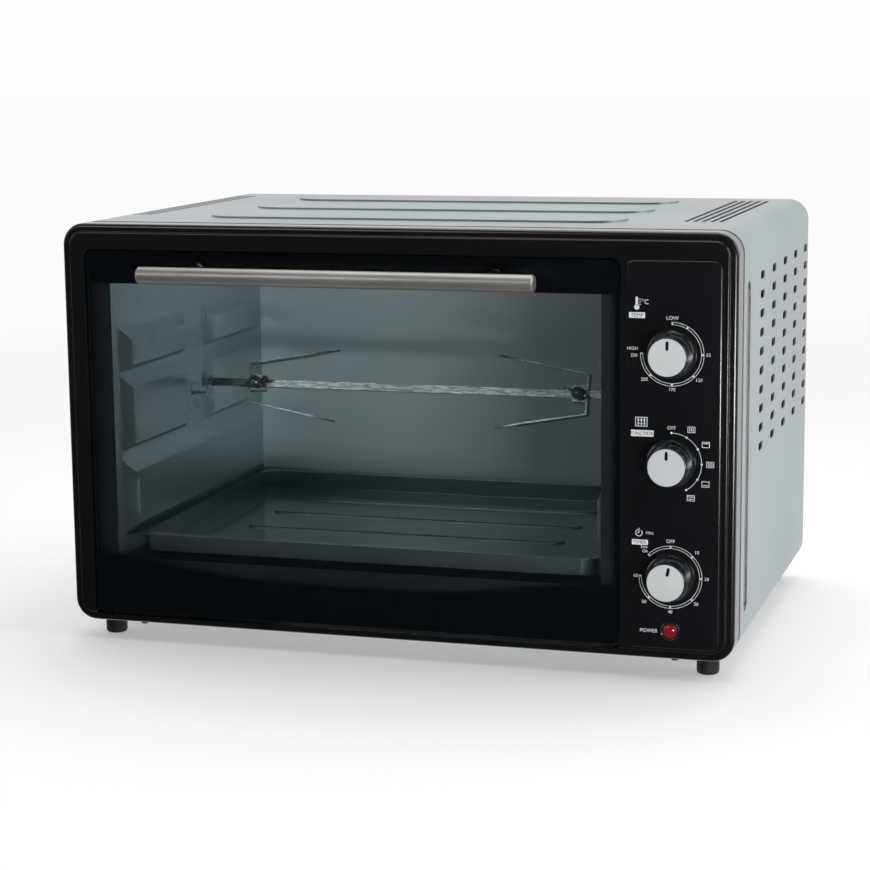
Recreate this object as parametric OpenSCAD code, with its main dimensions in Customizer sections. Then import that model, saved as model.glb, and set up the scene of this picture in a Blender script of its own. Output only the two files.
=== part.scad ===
// Countertop rotisserie oven: silver steel case, black front, drop-down glass door,
// three dials, spit with two forks and a baking tray. Millimetres, +Z up, front towards -Y.
// The origin is under the middle of the oven, on the table. Modules draw in case
// coordinates: x from the middle, y back from the front bezel, z up from the case's underside.

/* [Case] */
// Width of the case
case_w = 560; // [540:1:680]
// Depth from the bezel's face to the back
case_d = 380; // [315:1:460]
// Height of the case without its feet
case_h = 334; // [325:1:410]
// Radius of the case's long edges
corner_r = 18; // [12:1:24]
// Thickness of the case sheet
sheet_t = 1.2; // [0.8:0.1:2]
// How far the back panel sits inside the case
back_inset = 3; // [2.5:0.5:6]
// Depth of the long groove pressed in each side
groove_depth = 5; // [2:0.5:8]
// How far the ribs on the top stand up
rib_raise = 1.5; // [0.5:0.1:3]

/* [Feet] */
// Diameter of a foot
foot_dia = 18; // [12:1:26]
// Height of a foot
foot_h = 16; // [8:1:30]
// Distance of a foot's middle from the case's side
foot_side = 25; // [22:1:60]
// Distance of a foot's middle from the front or the back
foot_end = 28; // [20:1:60]

/* [Front bezel] */
// Depth of the bezel
bezel_d = 28; // [24:1:36]
// Thickness of the bezel's side walls
bezel_wall = 2.5; // [2:0.1:4]
// Thickness of the bezel's face
bezel_face = 3; // [2.5:0.1:3.2]
// Width of the step round the bezel's face
rim_w = 7.5; // [5:0.5:12]
// How far that step lies back
rim_step = 1.5; // [0.5:0.1:2]

/* [Door] */
// Distance of the door from the case's left side
door_side = 21; // [19:1:30]
// Height of the door's lower edge
door_base = 7.5; // [7:0.5:12]
// Distance of the door's upper edge from the top
door_drop = 22; // [16:1:30]
// Radius of the door's corners
door_r = 6.5; // [3:0.5:12]
// Thickness of the glass
glass_t = 4; // [3:0.5:4]
// Gap round the door
door_gap = 1.5; // [1:0.1:2.5]
// Diameter of the hinge pins
hinge_pin_d = 5; // [4:0.5:5]
// Height of the hinge above the case's underside
hinge_z = 15; // [15:0.5:17]

/* [Handle] */
// Length of the bar
handle_len = 328; // [200:1:400]
// Diameter of the bar
handle_d = 13.8; // [10:0.1:18]
// Distance of the bar's axis from the bezel's face
handle_out = 28; // [24:1:40]
// Distance of the bar's axis from the door's upper edge
handle_drop = 16.5; // [12:0.5:20]
// Distance between the posts
post_pitch = 250; // [120:1:300]
// Diameter of a post at the glass
post_d = 19; // [14:1:24]

/* [Control panel] */
// Width of the strip with the controls, right of the door
panel_bay = 92; // [88:1:110]
// Margin round the panel plate
panel_margin = 6.5; // [5:0.5:8]
// Thickness of the panel plate
panel_t = 1.2; // [0.8:0.1:2]
// Distance of the dials from the case's right side
dial_side = 50; // [48:1:56]
// Distance of the temperature dial from the top
temperature_drop = 93; // [70:1:100]
// Height of the function dial
function_z = 156.5; // [150:0.5:165]
// Height of the timer dial
timer_z = 66.5; // [62:0.5:70]
// Height of the power lamp
lamp_z = 23.8; // [22:0.1:26]
// Diameter of the power lamp's lens
lamp_d = 14.2; // [10:0.1:16]

/* [Knobs] */
// Diameter of a knob's skirt
knob_d = 38.4; // [30:0.1:44]
// Distance of a knob's front from the bezel's face
knob_reach = 22; // [16:0.5:26]
// Diameter of the silver cap
cap_d = 29; // [20:0.5:32]
// Diameter of a control's shaft
shaft_d = 6; // [5:0.1:7]
// Rest position of the timer's pointer, degrees clockwise
timer_rest = 12; // [0:1:30]

/* [Oven cavity] */
// Distance of the cavity from the case's left side
cav_side = 35; // [33:1:45]
// Width of the space right of the cavity
control_bay = 109; // [105:1:130]
// Distance of the cavity's floor from the case's underside
cav_floor = 37; // [34:1:40]
// Distance of the cavity's roof from the top
cav_drop = 36; // [30:1:45]
// Distance of the cavity's mouth from the bezel's face
cav_front = 16; // [15.5:0.5:18]
// Distance of the cavity's back from the case's back
cav_rear = 28; // [22:1:60]
// Thickness of the cavity's sheet
cav_t = 1; // [0.6:0.1:1.4]
// How far the pressed panels stand in
press_raise = 7; // [5.5:0.5:8]
// Width of the sloping border of a pressed panel
press_run = 10; // [6:1:12]
// Height of the sill in the cavity's mouth
sill_z = 52; // [48:0.5:52.5]

/* [Heaters] */
// Diameter of a heater tube
heater_d = 6.6; // [5:0.1:8]
// Distance of the heaters from the cavity's mouth and back
heater_end = 79; // [60:1:100]
// Gap between a heater's axis and the roof or floor
heater_gap = 6.7; // [5.5:0.1:7]

/* [Spit] */
// Height of the spit
spit_z = 178; // [172:1:185]
// Width across the square rod
rod_w = 6.5; // [5:0.5:8]
// How far the spit is turned at rest, degrees
spit_roll = -16; // [-45:1:45]
// Distance of the left fork's plate from the cavity's left wall
left_fork_gap = 56; // [50:1:80]
// Distance of the right fork's plate from the cavity's right wall
right_fork_gap = 49; // [44:1:70]
// Height of a fork's plate
fork_h = 36; // [26:1:46]
// Width of a fork's strip
fork_w = 12; // [8:0.5:16]
// Length of a fork's prongs
prong_len = 84; // [50:1:95]
// Angle of the prongs to the rod
prong_angle = 10; // [4:1:14]

/* [Baking tray] */
// Height of the tray's rim above the case's underside
tray_z = 69.5; // [69:0.1:72]
// Depth of the tray
tray_h = 16; // [10:0.5:16]
// Gap between the tray and each side wall
tray_gap = 3; // [2:0.5:4]
// Width of the tray's rim
tray_rim = 8; // [7:0.5:12]
// Thickness of the tray
tray_t = 1; // [0.8:0.1:1.6]
// Distance of the tray's front from the cavity's mouth
tray_front = 16; // [12:1:24]

/* [Hidden] */
$fn = 48;

eps = 0.01;
cut = 1;
run_gap = 0.05;
rest_gap = 0.3;

handle_reach = handle_out + handle_d / 2;
front_y = (handle_reach - case_d) / 2;
side_x = case_w / 2;

door_x0 = door_side - side_x;
door_x1 = side_x - panel_bay;
door_w = door_x1 - door_x0;
door_h = case_h - door_drop - door_base;
door_mid = (door_x0 + door_x1) / 2;
glass_y = 1;
glass_back = glass_y + glass_t;
handle_z = case_h - door_drop - handle_drop;

cav_x0 = cav_side - side_x;
cav_x1 = side_x - control_bay;
cav_w = cav_x1 - cav_x0;
cav_mid = (cav_x0 + cav_x1) / 2;
cav_y1 = case_d - cav_rear;
cav_depth = cav_y1 - cav_front;
cav_z1 = case_h - cav_drop;

dial_x = side_x - dial_side;
temperature_z = case_h - temperature_drop;
panel_x0 = door_x1 + panel_margin;
panel_x1 = side_x - rim_w - 4;
panel_z0 = 9;
panel_z1 = case_h - door_drop + 0.5;
panel_r = 8;

hinge_y = 9;
rail_end = 3;
rail_depth = 7.5;
rail_z0 = hinge_z - 4;
rail_z1 = hinge_z + 15;

spit_y = cav_front + cav_depth / 2;
socket_x0 = cav_x1 - 19;
socket_x1 = cav_x1 - 4;
rod_x0 = cav_x0 + 9;
rod_x1 = socket_x0 + 8;
support_x = cav_x0 + 15.5;
neck_d = 5;

ledge_top = tray_z - tray_t - rest_gap;
rows_z = [[tray_z + 1.5, 131], [140, 203], [207, 244]];
column_gap = 45;
column_margin = 14;

heater_y = [cav_front + heater_end, cav_y1 - heater_end];
heater_z = [cav_floor + heater_gap, cav_z1 - 1.6 * heater_gap];
heater_over = 17;

// ---- helpers ------------------------------------------------------------------

module in_case() {
    translate([0, front_y, foot_h]) children();
}

// Flat rounded rectangle between two corners, made of squares and circles.
module rounded(x0, z0, x1, z1, r) {
    translate([x0 + r, z0]) square([x1 - x0 - 2 * r, z1 - z0]);
    translate([x0, z0 + r]) square([x1 - x0, z1 - z0 - 2 * r]);
    for (x = [x0 + r, x1 - r], z = [z0 + r, z1 - r]) translate([x, z]) circle(r);
}

// Extrudes a flat x-z outline from y0 back to y1.
module upright(y0, y1) {
    translate([0, y1, 0]) rotate([90, 0, 0]) linear_extrude(y1 - y0) children();
}

// Extrudes a flat y-z outline from x0 to x1.
module crosswise(x0, x1) {
    translate([x0, 0, 0]) rotate([90, 0, 90]) linear_extrude(x1 - x0) children();
}

module rod_y(x, z, d, y0, y1) {
    translate([x, y1, z]) rotate([90, 0, 0]) cylinder(h = y1 - y0, d = d);
}

module rod_x(y, z, d, x0, x1) {
    translate([x0, y, z]) rotate([0, 90, 0]) cylinder(h = x1 - x0, d = d);
}

module box(x0, y0, z0, x1, y1, z1) {
    translate([x0, y0, z0]) cube([x1 - x0, y1 - y0, z1 - z0]);
}

// Solid of a pressed panel on the plane x = 0, rising towards +x, with sloping borders.
// base is how far the solid reaches behind the plane.
module pressing(y0, y1, z0, z1, raise, run_low, run_high, run_side, base) {
    intersection() {
        translate([0, y1, 0]) rotate([90, 0, 0]) linear_extrude(y1 - y0)
            polygon([[-base, z0], [0, z0], [raise, z0 + run_low],
                     [raise, z1 - run_high], [0, z1], [-base, z1]]);
        translate([0, 0, z0]) linear_extrude(z1 - z0)
            polygon([[-base, y0], [0, y0], [raise, y0 + run_side],
                     [raise, y1 - run_side], [0, y1], [-base, y1]]);
    }
}

// ---- case ---------------------------------------------------------------------

vent_rows = 10;
vent_columns = 5;
vent_y = [for (i = [0:vent_columns - 1]) 118 + i * (case_d - 134) / 4];
vent_z = [for (i = [0:vent_rows - 1]) case_h - 46 - i * 15.5];
vent_len = 20;
vent_h = 6.6;
groove_y0 = 42;
groove_y1 = 59;
groove_z0 = 30.5;
groove_z1 = case_h - 41;
louvre_y0 = 102;
louvre_y1 = case_d - 31;
louvre_w = 3.4;
louvre_x = concat([for (i = [0:4]) side_x - 62 + i * 7], [for (i = [0:2]) 17.5 - side_x + i * 7]);
rib_x0 = 92 - side_x;
rib_x1 = side_x - 108;
rib_w = 58;
rib_y = [for (i = [0:2]) 77 + i * (case_d - 166) / 2];
flange_w = 44;

module slot_yz(y0, y1, z0, z1) {
    r = min(y1 - y0, z1 - z0) / 2;
    rounded(y0, z0, y1, z1, r - eps);
}

module outer_shell() {
    color("silver") in_case() {
        difference() {
            union() {
                upright(bezel_d, case_d) rounded(-side_x, 0, side_x, case_h, corner_r);
                for (y = rib_y) translate([0, 0, case_h - eps]) linear_extrude(rib_raise + eps)
                    rounded(rib_x0, y, rib_x1, y + rib_w, rib_w / 2 - eps);
            }
            upright(bezel_d - cut, case_d + cut)
                rounded(sheet_t - side_x, sheet_t, side_x - sheet_t, case_h - sheet_t,
                        corner_r - sheet_t);
            box(flange_w - side_x, bezel_d - cut, -cut, side_x - flange_w, case_d + cut, 2 * sheet_t);
            for (s = [-1, 1]) {
                crosswise(s * side_x - 3, s * side_x + 3)
                    slot_yz(groove_y0, groove_y1, groove_z0, groove_z1);
                crosswise(s * side_x - 3, s * side_x + 3)
                    for (y = vent_y, z = vent_z) slot_yz(y - vent_len / 2, y + vent_len / 2, z, z + vent_h);
            }
            for (x = louvre_x) translate([0, 0, case_h - 3]) linear_extrude(3 + cut)
                rounded(x, louvre_y0, x + louvre_w, louvre_y1, louvre_w / 2 - eps);
            for (x = [-1, 1], y = [foot_end, case_d - foot_end])
                translate([x * (side_x - foot_side), y, -cut]) cylinder(h = 4, d = 4.4);
        }
        for (s = [-1, 1]) difference() {
            crosswise(s > 0 ? side_x - groove_depth : -side_x,
                      s > 0 ? side_x : groove_depth - side_x)
                slot_yz(groove_y0 - sheet_t, groove_y1 + sheet_t,
                        groove_z0 - sheet_t, groove_z1 + sheet_t);
            crosswise(s > 0 ? side_x - groove_depth + sheet_t : -side_x - cut,
                      s > 0 ? side_x + cut : groove_depth - sheet_t - side_x)
                slot_yz(groove_y0, groove_y1, groove_z0, groove_z1);
        }
    }
}

module base_pan() {
    color("gainsboro") in_case() difference() {
        box(corner_r - side_x, bezel_d + 1, sheet_t,
            side_x - corner_r, case_d - back_inset - sheet_t, 2 * sheet_t);
        for (x = [-1, 1], y = [foot_end, case_d - foot_end])
            translate([x * (side_x - foot_side), y, 0]) cylinder(h = 4, d = 4.4);
        for (x = [-150:30:120]) box(x, 120, 0, x + 4, case_d - 120, 4);
    }
}

back_screw_x = [14 - side_x, -side_x / 3, side_x / 3, side_x - 14];
gland_x = side_x - 52;
gland_z = 44;

module back_panel() {
    y1 = case_d - back_inset;
    m = sheet_t + 0.2;
    color("gainsboro") in_case() {
        difference() {
            upright(y1 - sheet_t, y1)
                rounded(m - side_x, m + sheet_t, side_x - m, case_h - m, corner_r - m);
            for (x = back_screw_x, z = [20, case_h - 20]) rod_y(x, z, 3.4, y1 - 3, y1 + cut);
            for (x = [-180:24:108], k = [0:2])
                upright(y1 - 3, y1 + cut) rounded(x, 90 + k * 60, x + 5, 130 + k * 60, 2.4);
            rod_y(gland_x, gland_z, 14.2, y1 - 3, y1 + cut);
        }
    }
}

module foot(x, y) {
    translate([x, y, -foot_h]) difference() {
        union() {
            cylinder(h = 1.5, d1 = foot_dia - 3, d2 = foot_dia);
            translate([0, 0, 1.5]) cylinder(h = foot_h - 1.5, d = foot_dia);
        }
        translate([0, 0, -cut]) cylinder(h = foot_h + 2 * cut, d = 4.4);
        translate([0, 0, -cut]) cylinder(h = foot_h / 2 + cut, d = 9);
    }
}

module front_feet() {
    color("black") in_case()
        for (s = [-1, 1]) foot(s * (side_x - foot_side), foot_end);
}

module rear_feet() {
    color("black") in_case()
        for (s = [-1, 1]) foot(s * (side_x - foot_side), case_d - foot_end);
}

// A pan-head screw pointing up (+z), its head's underside at z = 0.
module screw(len, shank = 4, head = 8, head_h = 2.4) {
    translate([0, 0, -head_h]) cylinder(h = head_h, d = head);
    translate([0, 0, -eps]) cylinder(h = len + eps, d = shank);
}

module foot_screws() {
    color("silver") in_case()
        for (s = [-1, 1], y = [foot_end, case_d - foot_end])
            translate([s * (side_x - foot_side), y, -foot_h / 2]) screw(foot_h / 2 + 6);
}

module base_screws() {
    color("silver") in_case()
        for (x = [side_x - 48, 60 - side_x]) translate([x, base_screw_y, 0]) screw(3, 3, 7, 2);
}

module back_screws() {
    color("silver") in_case()
        for (x = back_screw_x, z = [20, case_h - 20])
            translate([x, case_d - back_inset, z]) rotate([90, 0, 0]) screw(8, 3, 7, 2);
}

module cord_gland() {
    y1 = case_d - back_inset;
    color("black") in_case() difference() {
        union() {
            rod_y(gland_x, gland_z, 14, y1 - 8, y1 + 1);
            rod_y(gland_x, gland_z, 19, y1, y1 + 2.5);
            rod_y(gland_x, gland_z, 18, y1 - 8, y1 - sheet_t - 0.2);
        }
        rod_y(gland_x, gland_z, 7.6, y1 - 9, y1 + 4);
    }
}

// ---- front --------------------------------------------------------------------

dial_z = [temperature_z, function_z, timer_z];
boss_p = [[10 - side_x, 60], [10 - side_x, case_h - 60], [side_x - 6.5, 60], [side_x - 6.5, case_h - 60],
          [door_mid, case_h - 9], [side_x - 96, case_h - 9]];
frame_y0 = cav_front - cav_t;
base_screw_y = 10;

module front_bezel() {
    color([0.07, 0.07, 0.08]) in_case() {
        difference() {
            union() {
                upright(rim_step, bezel_d) rounded(-side_x, 0, side_x, case_h, corner_r);
                upright(0, rim_step + eps)
                    rounded(rim_w - side_x, 3, side_x - rim_w, case_h - rim_w, corner_r - 7);
            }
            upright(bezel_face + 1, bezel_d + cut)
                rounded(bezel_wall - side_x, bezel_wall, side_x - bezel_wall,
                        case_h - bezel_wall, corner_r - bezel_wall);
            upright(bezel_face, bezel_face + 1 + eps)
                rounded(door_x0 - 8, bezel_wall, side_x - 12, case_h - 14, 4);
            upright(-cut, bezel_d)
                rounded(door_x0 - door_gap, door_base - 2, door_x1 + door_gap,
                        case_h - door_drop + door_gap, door_r + door_gap);
            box(door_x0 - door_gap, -cut, door_base - 2, door_x1 + door_gap, bezel_d, door_base + 2 * door_r);
            for (z = dial_z) rod_y(dial_x, z, 12, -cut, bezel_d);
            rod_y(dial_x, lamp_z, lamp_d + 0.4, -cut, bezel_d);
            for (x = [side_x - 48, 60 - side_x])
                translate([x, base_screw_y, -cut]) cylinder(h = 6, d = 3.2);
            for (s = [-1, 1]) translate([s * (side_x - foot_side), foot_end, -cut])
                cylinder(h = 5, d = 4.4);
        }
        for (p = boss_p) difference() {
            rod_y(p[0], p[1], 8, bezel_face, frame_y0);
            rod_y(p[0], p[1], 3, bezel_face + 2, frame_y0 + cut);
        }
    }
}

module control_panel() {
    color([0.05, 0.05, 0.06]) in_case() difference() {
        upright(-panel_t, 0) rounded(panel_x0, panel_z0, panel_x1, panel_z1, panel_r);
        for (z = dial_z) rod_y(dial_x, z, 10, -panel_t - cut, cut);
        rod_y(dial_x, lamp_z, lamp_d + 0.2, -panel_t - cut, cut);
    }
}

module front_frame() {
    m = bezel_wall + 0.5;
    color("lightgray") in_case() difference() {
        upright(frame_y0, cav_front) rounded(m - side_x, m, side_x - m, case_h - m, corner_r - m);
        upright(frame_y0 - cut, cav_front + cut) rounded(cav_x0, sill_z, cav_x1, cav_z1 - 8, 4);
        box(door_x0 - door_gap, frame_y0 - cut, -cut, door_x1 + door_gap, cav_front + cut, hinge_z - 2);
        for (z = dial_z) rod_y(dial_x, z, 10.2, frame_y0 - cut, cav_front + cut);
        rod_y(dial_x, lamp_z, lamp_d + 0.4, frame_y0 - cut, cav_front + cut);
    }
}

lamp_seat = panel_t + 1;

module power_lamp_lens() {
    color("red") in_case() translate([dial_x, -panel_t, lamp_z]) rotate([90, 0, 0]) {
        difference() {
            union() {
                translate([0, 0, -lamp_seat]) cylinder(h = lamp_seat, d = lamp_d);
                intersection() {
                    translate([0, 0, -9]) sphere(r = 12.2, $fn = 64);
                    cylinder(h = 6, d = lamp_d + 1.6);
                }
            }
            translate([0, 0, -lamp_seat - cut]) cylinder(h = lamp_seat + cut, d = lamp_d - 3);
        }
    }
}

module power_lamp_body() {
    color("dimgray") in_case() {
        rod_y(dial_x, lamp_z, lamp_d - 0.4, 1, 9);
        rod_y(dial_x, lamp_z, lamp_d - 5, 9, cav_front + 8);
        for (s = [-1, 1]) box(dial_x + s * 2.5 - 0.4, cav_front + 8, lamp_z - 2,
                              dial_x + s * 2.5 + 0.4, cav_front + 15, lamp_z + 2);
    }
}

// ---- cavity -------------------------------------------------------------------

columns_y = [[cav_front + column_margin, spit_y - column_gap / 2],
             [spit_y + column_gap / 2, cav_y1 + 7 - column_margin]];

// All pressed panels of a side wall, on the plane x = 0 and rising towards +x.
module wall_pressings(base) {
    y0 = columns_y[0][0];
    y1 = columns_y[1][1];
    pressing(y0, y1, sill_z, ledge_top, press_raise, press_run / 2, 0, press_run, base);
    pressing(y0, y1, rows_z[0][0], rows_z[0][1], press_raise, press_run / 2, press_run, press_run, base);
    for (c = columns_y, r = [rows_z[1], rows_z[2]])
        pressing(c[0], c[1], r[0], r[1], press_raise, press_run / 2, press_run, press_run, base);
}

// A side wall whose inner face is the plane x = 0, with its pressed panels towards +x.
module side_wall() {
    difference() {
        union() {
            box(-cav_t, cav_front, cav_floor - cav_t, 0, cav_y1 + cav_t, cav_z1 + cav_t);
            wall_pressings(0);
            crosswise(-eps, press_raise + 2)
                slot_yz(columns_y[0][0] + press_run + 2, columns_y[0][0] + press_run + 16, 82, 118);
        }
        translate([-cav_t, 0, 0]) wall_pressings(cut);
        for (y = heater_y, z = heater_z)
            translate([-cav_t - cut, y, z]) rotate([0, 90, 0])
                cylinder(h = cav_t + 2 * cut, d = heater_d + 1.4);
    }
}

module cavity_left_wall() {
    color("lightgray") in_case() translate([cav_x0, 0, 0]) side_wall();
}

module cavity_right_wall() {
    color("lightgray") in_case() difference() {
        translate([cav_x1, 0, 0]) mirror([1, 0, 0]) side_wall();
        rod_x(spit_y, spit_z, 14, cav_x1 - cut, cav_x1 + cav_t + cut);
    }
}

module cavity_roof() {
    color("lightgray") in_case() difference() {
        union() {
            box(cav_x0, cav_front, cav_z1, cav_x1, cav_y1, cav_z1 + cav_t);
            translate([0, 0, cav_z1 + cav_t - eps]) linear_extrude(4 + eps)
                rounded(cav_x0 + 30, cav_front + 30, cav_x1 - 30, cav_y1 - 30, 20);
        }
        translate([0, 0, cav_z1 - cut]) linear_extrude(4 + cut)
            rounded(cav_x0 + 31, cav_front + 31, cav_x1 - 31, cav_y1 - 31, 19);
    }
}

module cavity_floor() {
    color("lightgray") in_case() difference() {
        union() {
            box(cav_x0, cav_front, cav_floor - cav_t, cav_x1, cav_y1, cav_floor);
            translate([0, 0, cav_floor - cav_t - 3]) linear_extrude(3 + eps)
                rounded(cav_x0 + 30, cav_front + 30, cav_x1 - 30, cav_y1 - 30, 20);
        }
        translate([0, 0, cav_floor - 3]) linear_extrude(3 + cut)
            rounded(cav_x0 + 31, cav_front + 31, cav_x1 - 31, cav_y1 - 31, 19);
    }
}

module cavity_back_wall() {
    side = 22;
    color("lightgray") in_case() difference() {
        union() {
            box(cav_x0, cav_y1, cav_floor - cav_t, cav_x1, cav_y1 + cav_t, cav_z1 + cav_t);
            back_pressing(side, 0);
        }
        translate([0, cav_t, 0]) back_pressing(side, cut);
    }
}

// The back wall's large pressed panel, rising towards the mouth.
module back_pressing(side, base) {
    translate([0, cav_y1, 0]) rotate([0, 0, -90])
        pressing(cav_x0 + side, cav_x1 - side, cav_floor + 12, cav_z1 - 12,
                 8, press_run, press_run, 14, base);
}

module heater(y, z) {
    color("dimgray") in_case() {
        rod_x(y, z, heater_d, cav_x0 - heater_over, cav_x1 + heater_over);
        rod_x(y, z, 3, cav_x0 - heater_over - 8, cav_x0 - heater_over + eps);
        rod_x(y, z, 3, cav_x1 + heater_over - eps, cav_x1 + heater_over + 8);
    }
}

module upper_front_heater() heater(heater_y[0], heater_z[1]);
module upper_rear_heater() heater(heater_y[1], heater_z[1]);
module lower_front_heater() heater(heater_y[0], heater_z[0]);
module lower_rear_heater() heater(heater_y[1], heater_z[0]);

module heater_insulators() {
    color("white") in_case()
        for (y = heater_y, z = heater_z, s = [-1, 1]) {
            x = s < 0 ? cav_x0 - cav_t - 11 : cav_x1 + cav_t;
            difference() {
                rod_x(y, z, 13, x, x + 11);
                rod_x(y, z, heater_d + 2 * run_gap, x - cut, x + 12);
            }
        }
}

// ---- tray ---------------------------------------------------------------------

tray_x0 = cav_x0 + tray_gap;
tray_x1 = cav_x1 - tray_gap;
tray_y0 = cav_front + tray_front;
tray_y1 = cav_y1 - 12;
tray_rib_y = [for (i = [0:3]) tray_y0 + 58 + i * (tray_y1 - tray_y0 - 116) / 3];

module tray_outline(inset, r) {
    rounded(tray_x0 + inset, tray_y0 + inset, tray_x1 - inset, tray_y1 - inset, r);
}

module baking_tray() {
    low = tray_z - tray_h;
    color("gray") in_case() {
        difference() {
            union() {
                translate([0, 0, tray_z - tray_t]) linear_extrude(tray_t) tray_outline(0, 20);
                translate([0, 0, low]) linear_extrude(tray_h - tray_t + eps) tray_outline(tray_rim, 16);
            }
            translate([0, 0, low + tray_t]) linear_extrude(tray_h + cut)
                tray_outline(tray_rim + tray_t, 15);
        }
        for (y = tray_rib_y)
            translate([0, 0, low + tray_t - eps]) linear_extrude(1.5 + eps)
                rounded(tray_x0 + 60, y - 7, tray_x1 - 60, y + 7, 7 - eps);
    }
}

// ---- door ---------------------------------------------------------------------

post_x = [door_mid - post_pitch / 2, door_mid + post_pitch / 2];
top_rail_h = 22;
top_rail_z0 = case_h - door_drop - 3 - top_rail_h;

module door_glass() {
    color([0.5, 0.6, 0.65, 0.4]) in_case() difference() {
        upright(glass_y, glass_back)
            rounded(door_x0, door_base, door_x1, case_h - door_drop, door_r);
        for (x = post_x) rod_y(x, handle_z, 6, 0, glass_back + cut);
    }
}

module door_top_rail() {
    back = frame_y0 - rest_gap;
    color("gray") in_case() difference() {
        box(door_x0 + 9, glass_back, top_rail_z0, door_x1 - 9, back, top_rail_z0 + top_rail_h);
        box(door_x0 + 10, glass_back + 1, top_rail_z0 + 1, door_x1 - 10, back + cut,
            top_rail_z0 + top_rail_h - 1);
        for (x = post_x) rod_y(x, handle_z, 4.4, glass_back - cut, glass_back + 2);
    }
}

module door_bottom_rail() {
    x0 = door_x0 + rail_end;
    x1 = door_x1 - rail_end;
    y1 = glass_back + rail_depth;
    color("gray") in_case() difference() {
        box(x0, glass_back, rail_z0, x1, y1, rail_z1);
        box(x0 + 12, glass_back + 1, rail_z0 + 1, x1 - 12, y1 + cut, rail_z1 - 1);
        rod_x(hinge_y, hinge_z, hinge_pin_d + 2 * run_gap, x0 - cut, x0 + 10);
        rod_x(hinge_y, hinge_z, hinge_pin_d + 2 * run_gap, x1 - 10, x1 + cut);
    }
}

bracket_t = 2.5;
bracket_gap = 2;

module door_hinge_pins() {
    out = bracket_gap + bracket_t + 0.3;
    color("silver") in_case() {
        rod_x(hinge_y, hinge_z, hinge_pin_d, door_x0 - out, door_x0 + rail_end + 10);
        rod_x(hinge_y, hinge_z, hinge_pin_d, door_x1 - rail_end - 10, door_x1 + out);
    }
}

// One hinge bracket: an ear with the pin's bore and a foot on the front frame.
// s is -1 for the left end of the door and 1 for the right end.
module hinge_bracket(s) {
    x = s < 0 ? door_x0 - bracket_gap - bracket_t : door_x1 + bracket_gap;
    fx = s < 0 ? x - 6 : x;
    color("silver") in_case() difference() {
        union() {
            box(x, bezel_face + 1.5, hinge_z - 7, x + bracket_t, frame_y0, hinge_z + 9);
            box(fx, frame_y0 - 1.5, hinge_z - 7, fx + bracket_t + 6, frame_y0, hinge_z + 9);
        }
        rod_x(hinge_y, hinge_z, hinge_pin_d + 2 * run_gap, x - cut, x + bracket_t + cut);
    }
}

module left_hinge_bracket() hinge_bracket(-1);
module right_hinge_bracket() hinge_bracket(1);

// A round wire swept along points, as rings of sides points.
function ring(p, dir, r, sides) =
    let (d = dir / norm(dir), a = cross(d, [1, 0, 0]), u = a / norm(a), v = cross(d, u))
    [for (k = [0:sides - 1]) p + r * (cos(360 * k / sides) * u + sin(360 * k / sides) * v)];

module wire(points, r, sides = 8) {
    n = len(points);
    rings = [for (i = [0:n - 1])
        ring(points[i], points[min(i + 1, n - 1)] - points[max(i - 1, 0)], r, sides)];
    polyhedron(
        points = [for (g = rings) each g],
        faces = concat(
            [[for (k = [0:sides - 1]) k]],
            [for (i = [0:n - 2], k = [0:sides - 1]) let (a = i * sides, b = a + sides, j = (k + 1) % sides)
                each [[a + k, b + k, b + j], [a + k, b + j, a + j]]],
            [[for (k = [sides - 1:-1:0]) (n - 1) * sides + k]]),
        convexity = 6);
}

spring_wire = 0.8;
spring_r = hinge_pin_d / 2 + 0.8;
spring_turns = 3;

// Coil round a hinge pin, starting at x and growing towards s.
module door_spring(x, s) {
    steps = 16;
    wire([for (i = [0:spring_turns * steps]) let (a = 360 * i / steps)
          [x + s * 1.15 * spring_wire * i / steps, hinge_y + spring_r * cos(a), hinge_z + spring_r * sin(a)]],
         spring_wire / 2);
}

module door_springs() {
    color("silver") in_case() {
        door_spring(door_x0 + rail_end - spring_wire / 2 - 0.1, -1);
        door_spring(door_x1 - rail_end + spring_wire / 2 + 0.1, 1);
    }
}

module handle_bar() {
    x0 = door_mid - handle_len / 2 + 2;
    x1 = door_mid + handle_len / 2 - 2;
    color("silver") in_case() difference() {
        rod_x(-handle_out, handle_z, handle_d, x0, x1);
        rod_x(-handle_out, handle_z, handle_d - 2.4, x0 - cut, x1 + cut);
        for (x = post_x) rod_y(x, handle_z, 4.2, -handle_out, -handle_out + handle_d);
    }
}

module handle_end_caps() {
    color("silver") in_case()
        for (s = [-1, 1]) translate([door_mid + s * (handle_len / 2 - 2), -handle_out, handle_z])
            rotate([0, s * 90, 0]) {
                translate([0, 0, -6]) cylinder(h = 6 + eps, d = handle_d - 2.4 - 2 * run_gap);
                cylinder(h = 1, d = handle_d);
                translate([0, 0, 1 - eps]) cylinder(h = 1 + eps, d1 = handle_d, d2 = handle_d - 2);
            }
}

module handle_posts() {
    len = handle_out + glass_y;
    color("black") in_case()
        for (x = post_x) difference() {
            translate([x, glass_y, handle_z]) rotate([90, 0, 0])
                cylinder(h = len - handle_d / 4, d1 = post_d, d2 = handle_d - 2);
            rod_x(-handle_out, handle_z, handle_d + 2 * run_gap, x - post_d, x + post_d);
            rod_y(x, handle_z, 4, -handle_out, glass_y + cut);
        }
}

module handle_screws() {
    color("silver") in_case()
        for (x = post_x) translate([x, glass_back + 1, handle_z]) rotate([90, 0, 0])
            screw(handle_out + glass_back - 2 - handle_d / 4, 3.9, 8, 2.4);
}

// ---- spit ---------------------------------------------------------------------

module on_spit() {
    in_case() translate([0, spit_y, spit_z]) rotate([spit_roll, 0, 0]) children();
}

module turned(d, x0, x1) {
    translate([x0, 0, 0]) rotate([0, 90, 0]) cylinder(h = x1 - x0, d = d);
}

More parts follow.
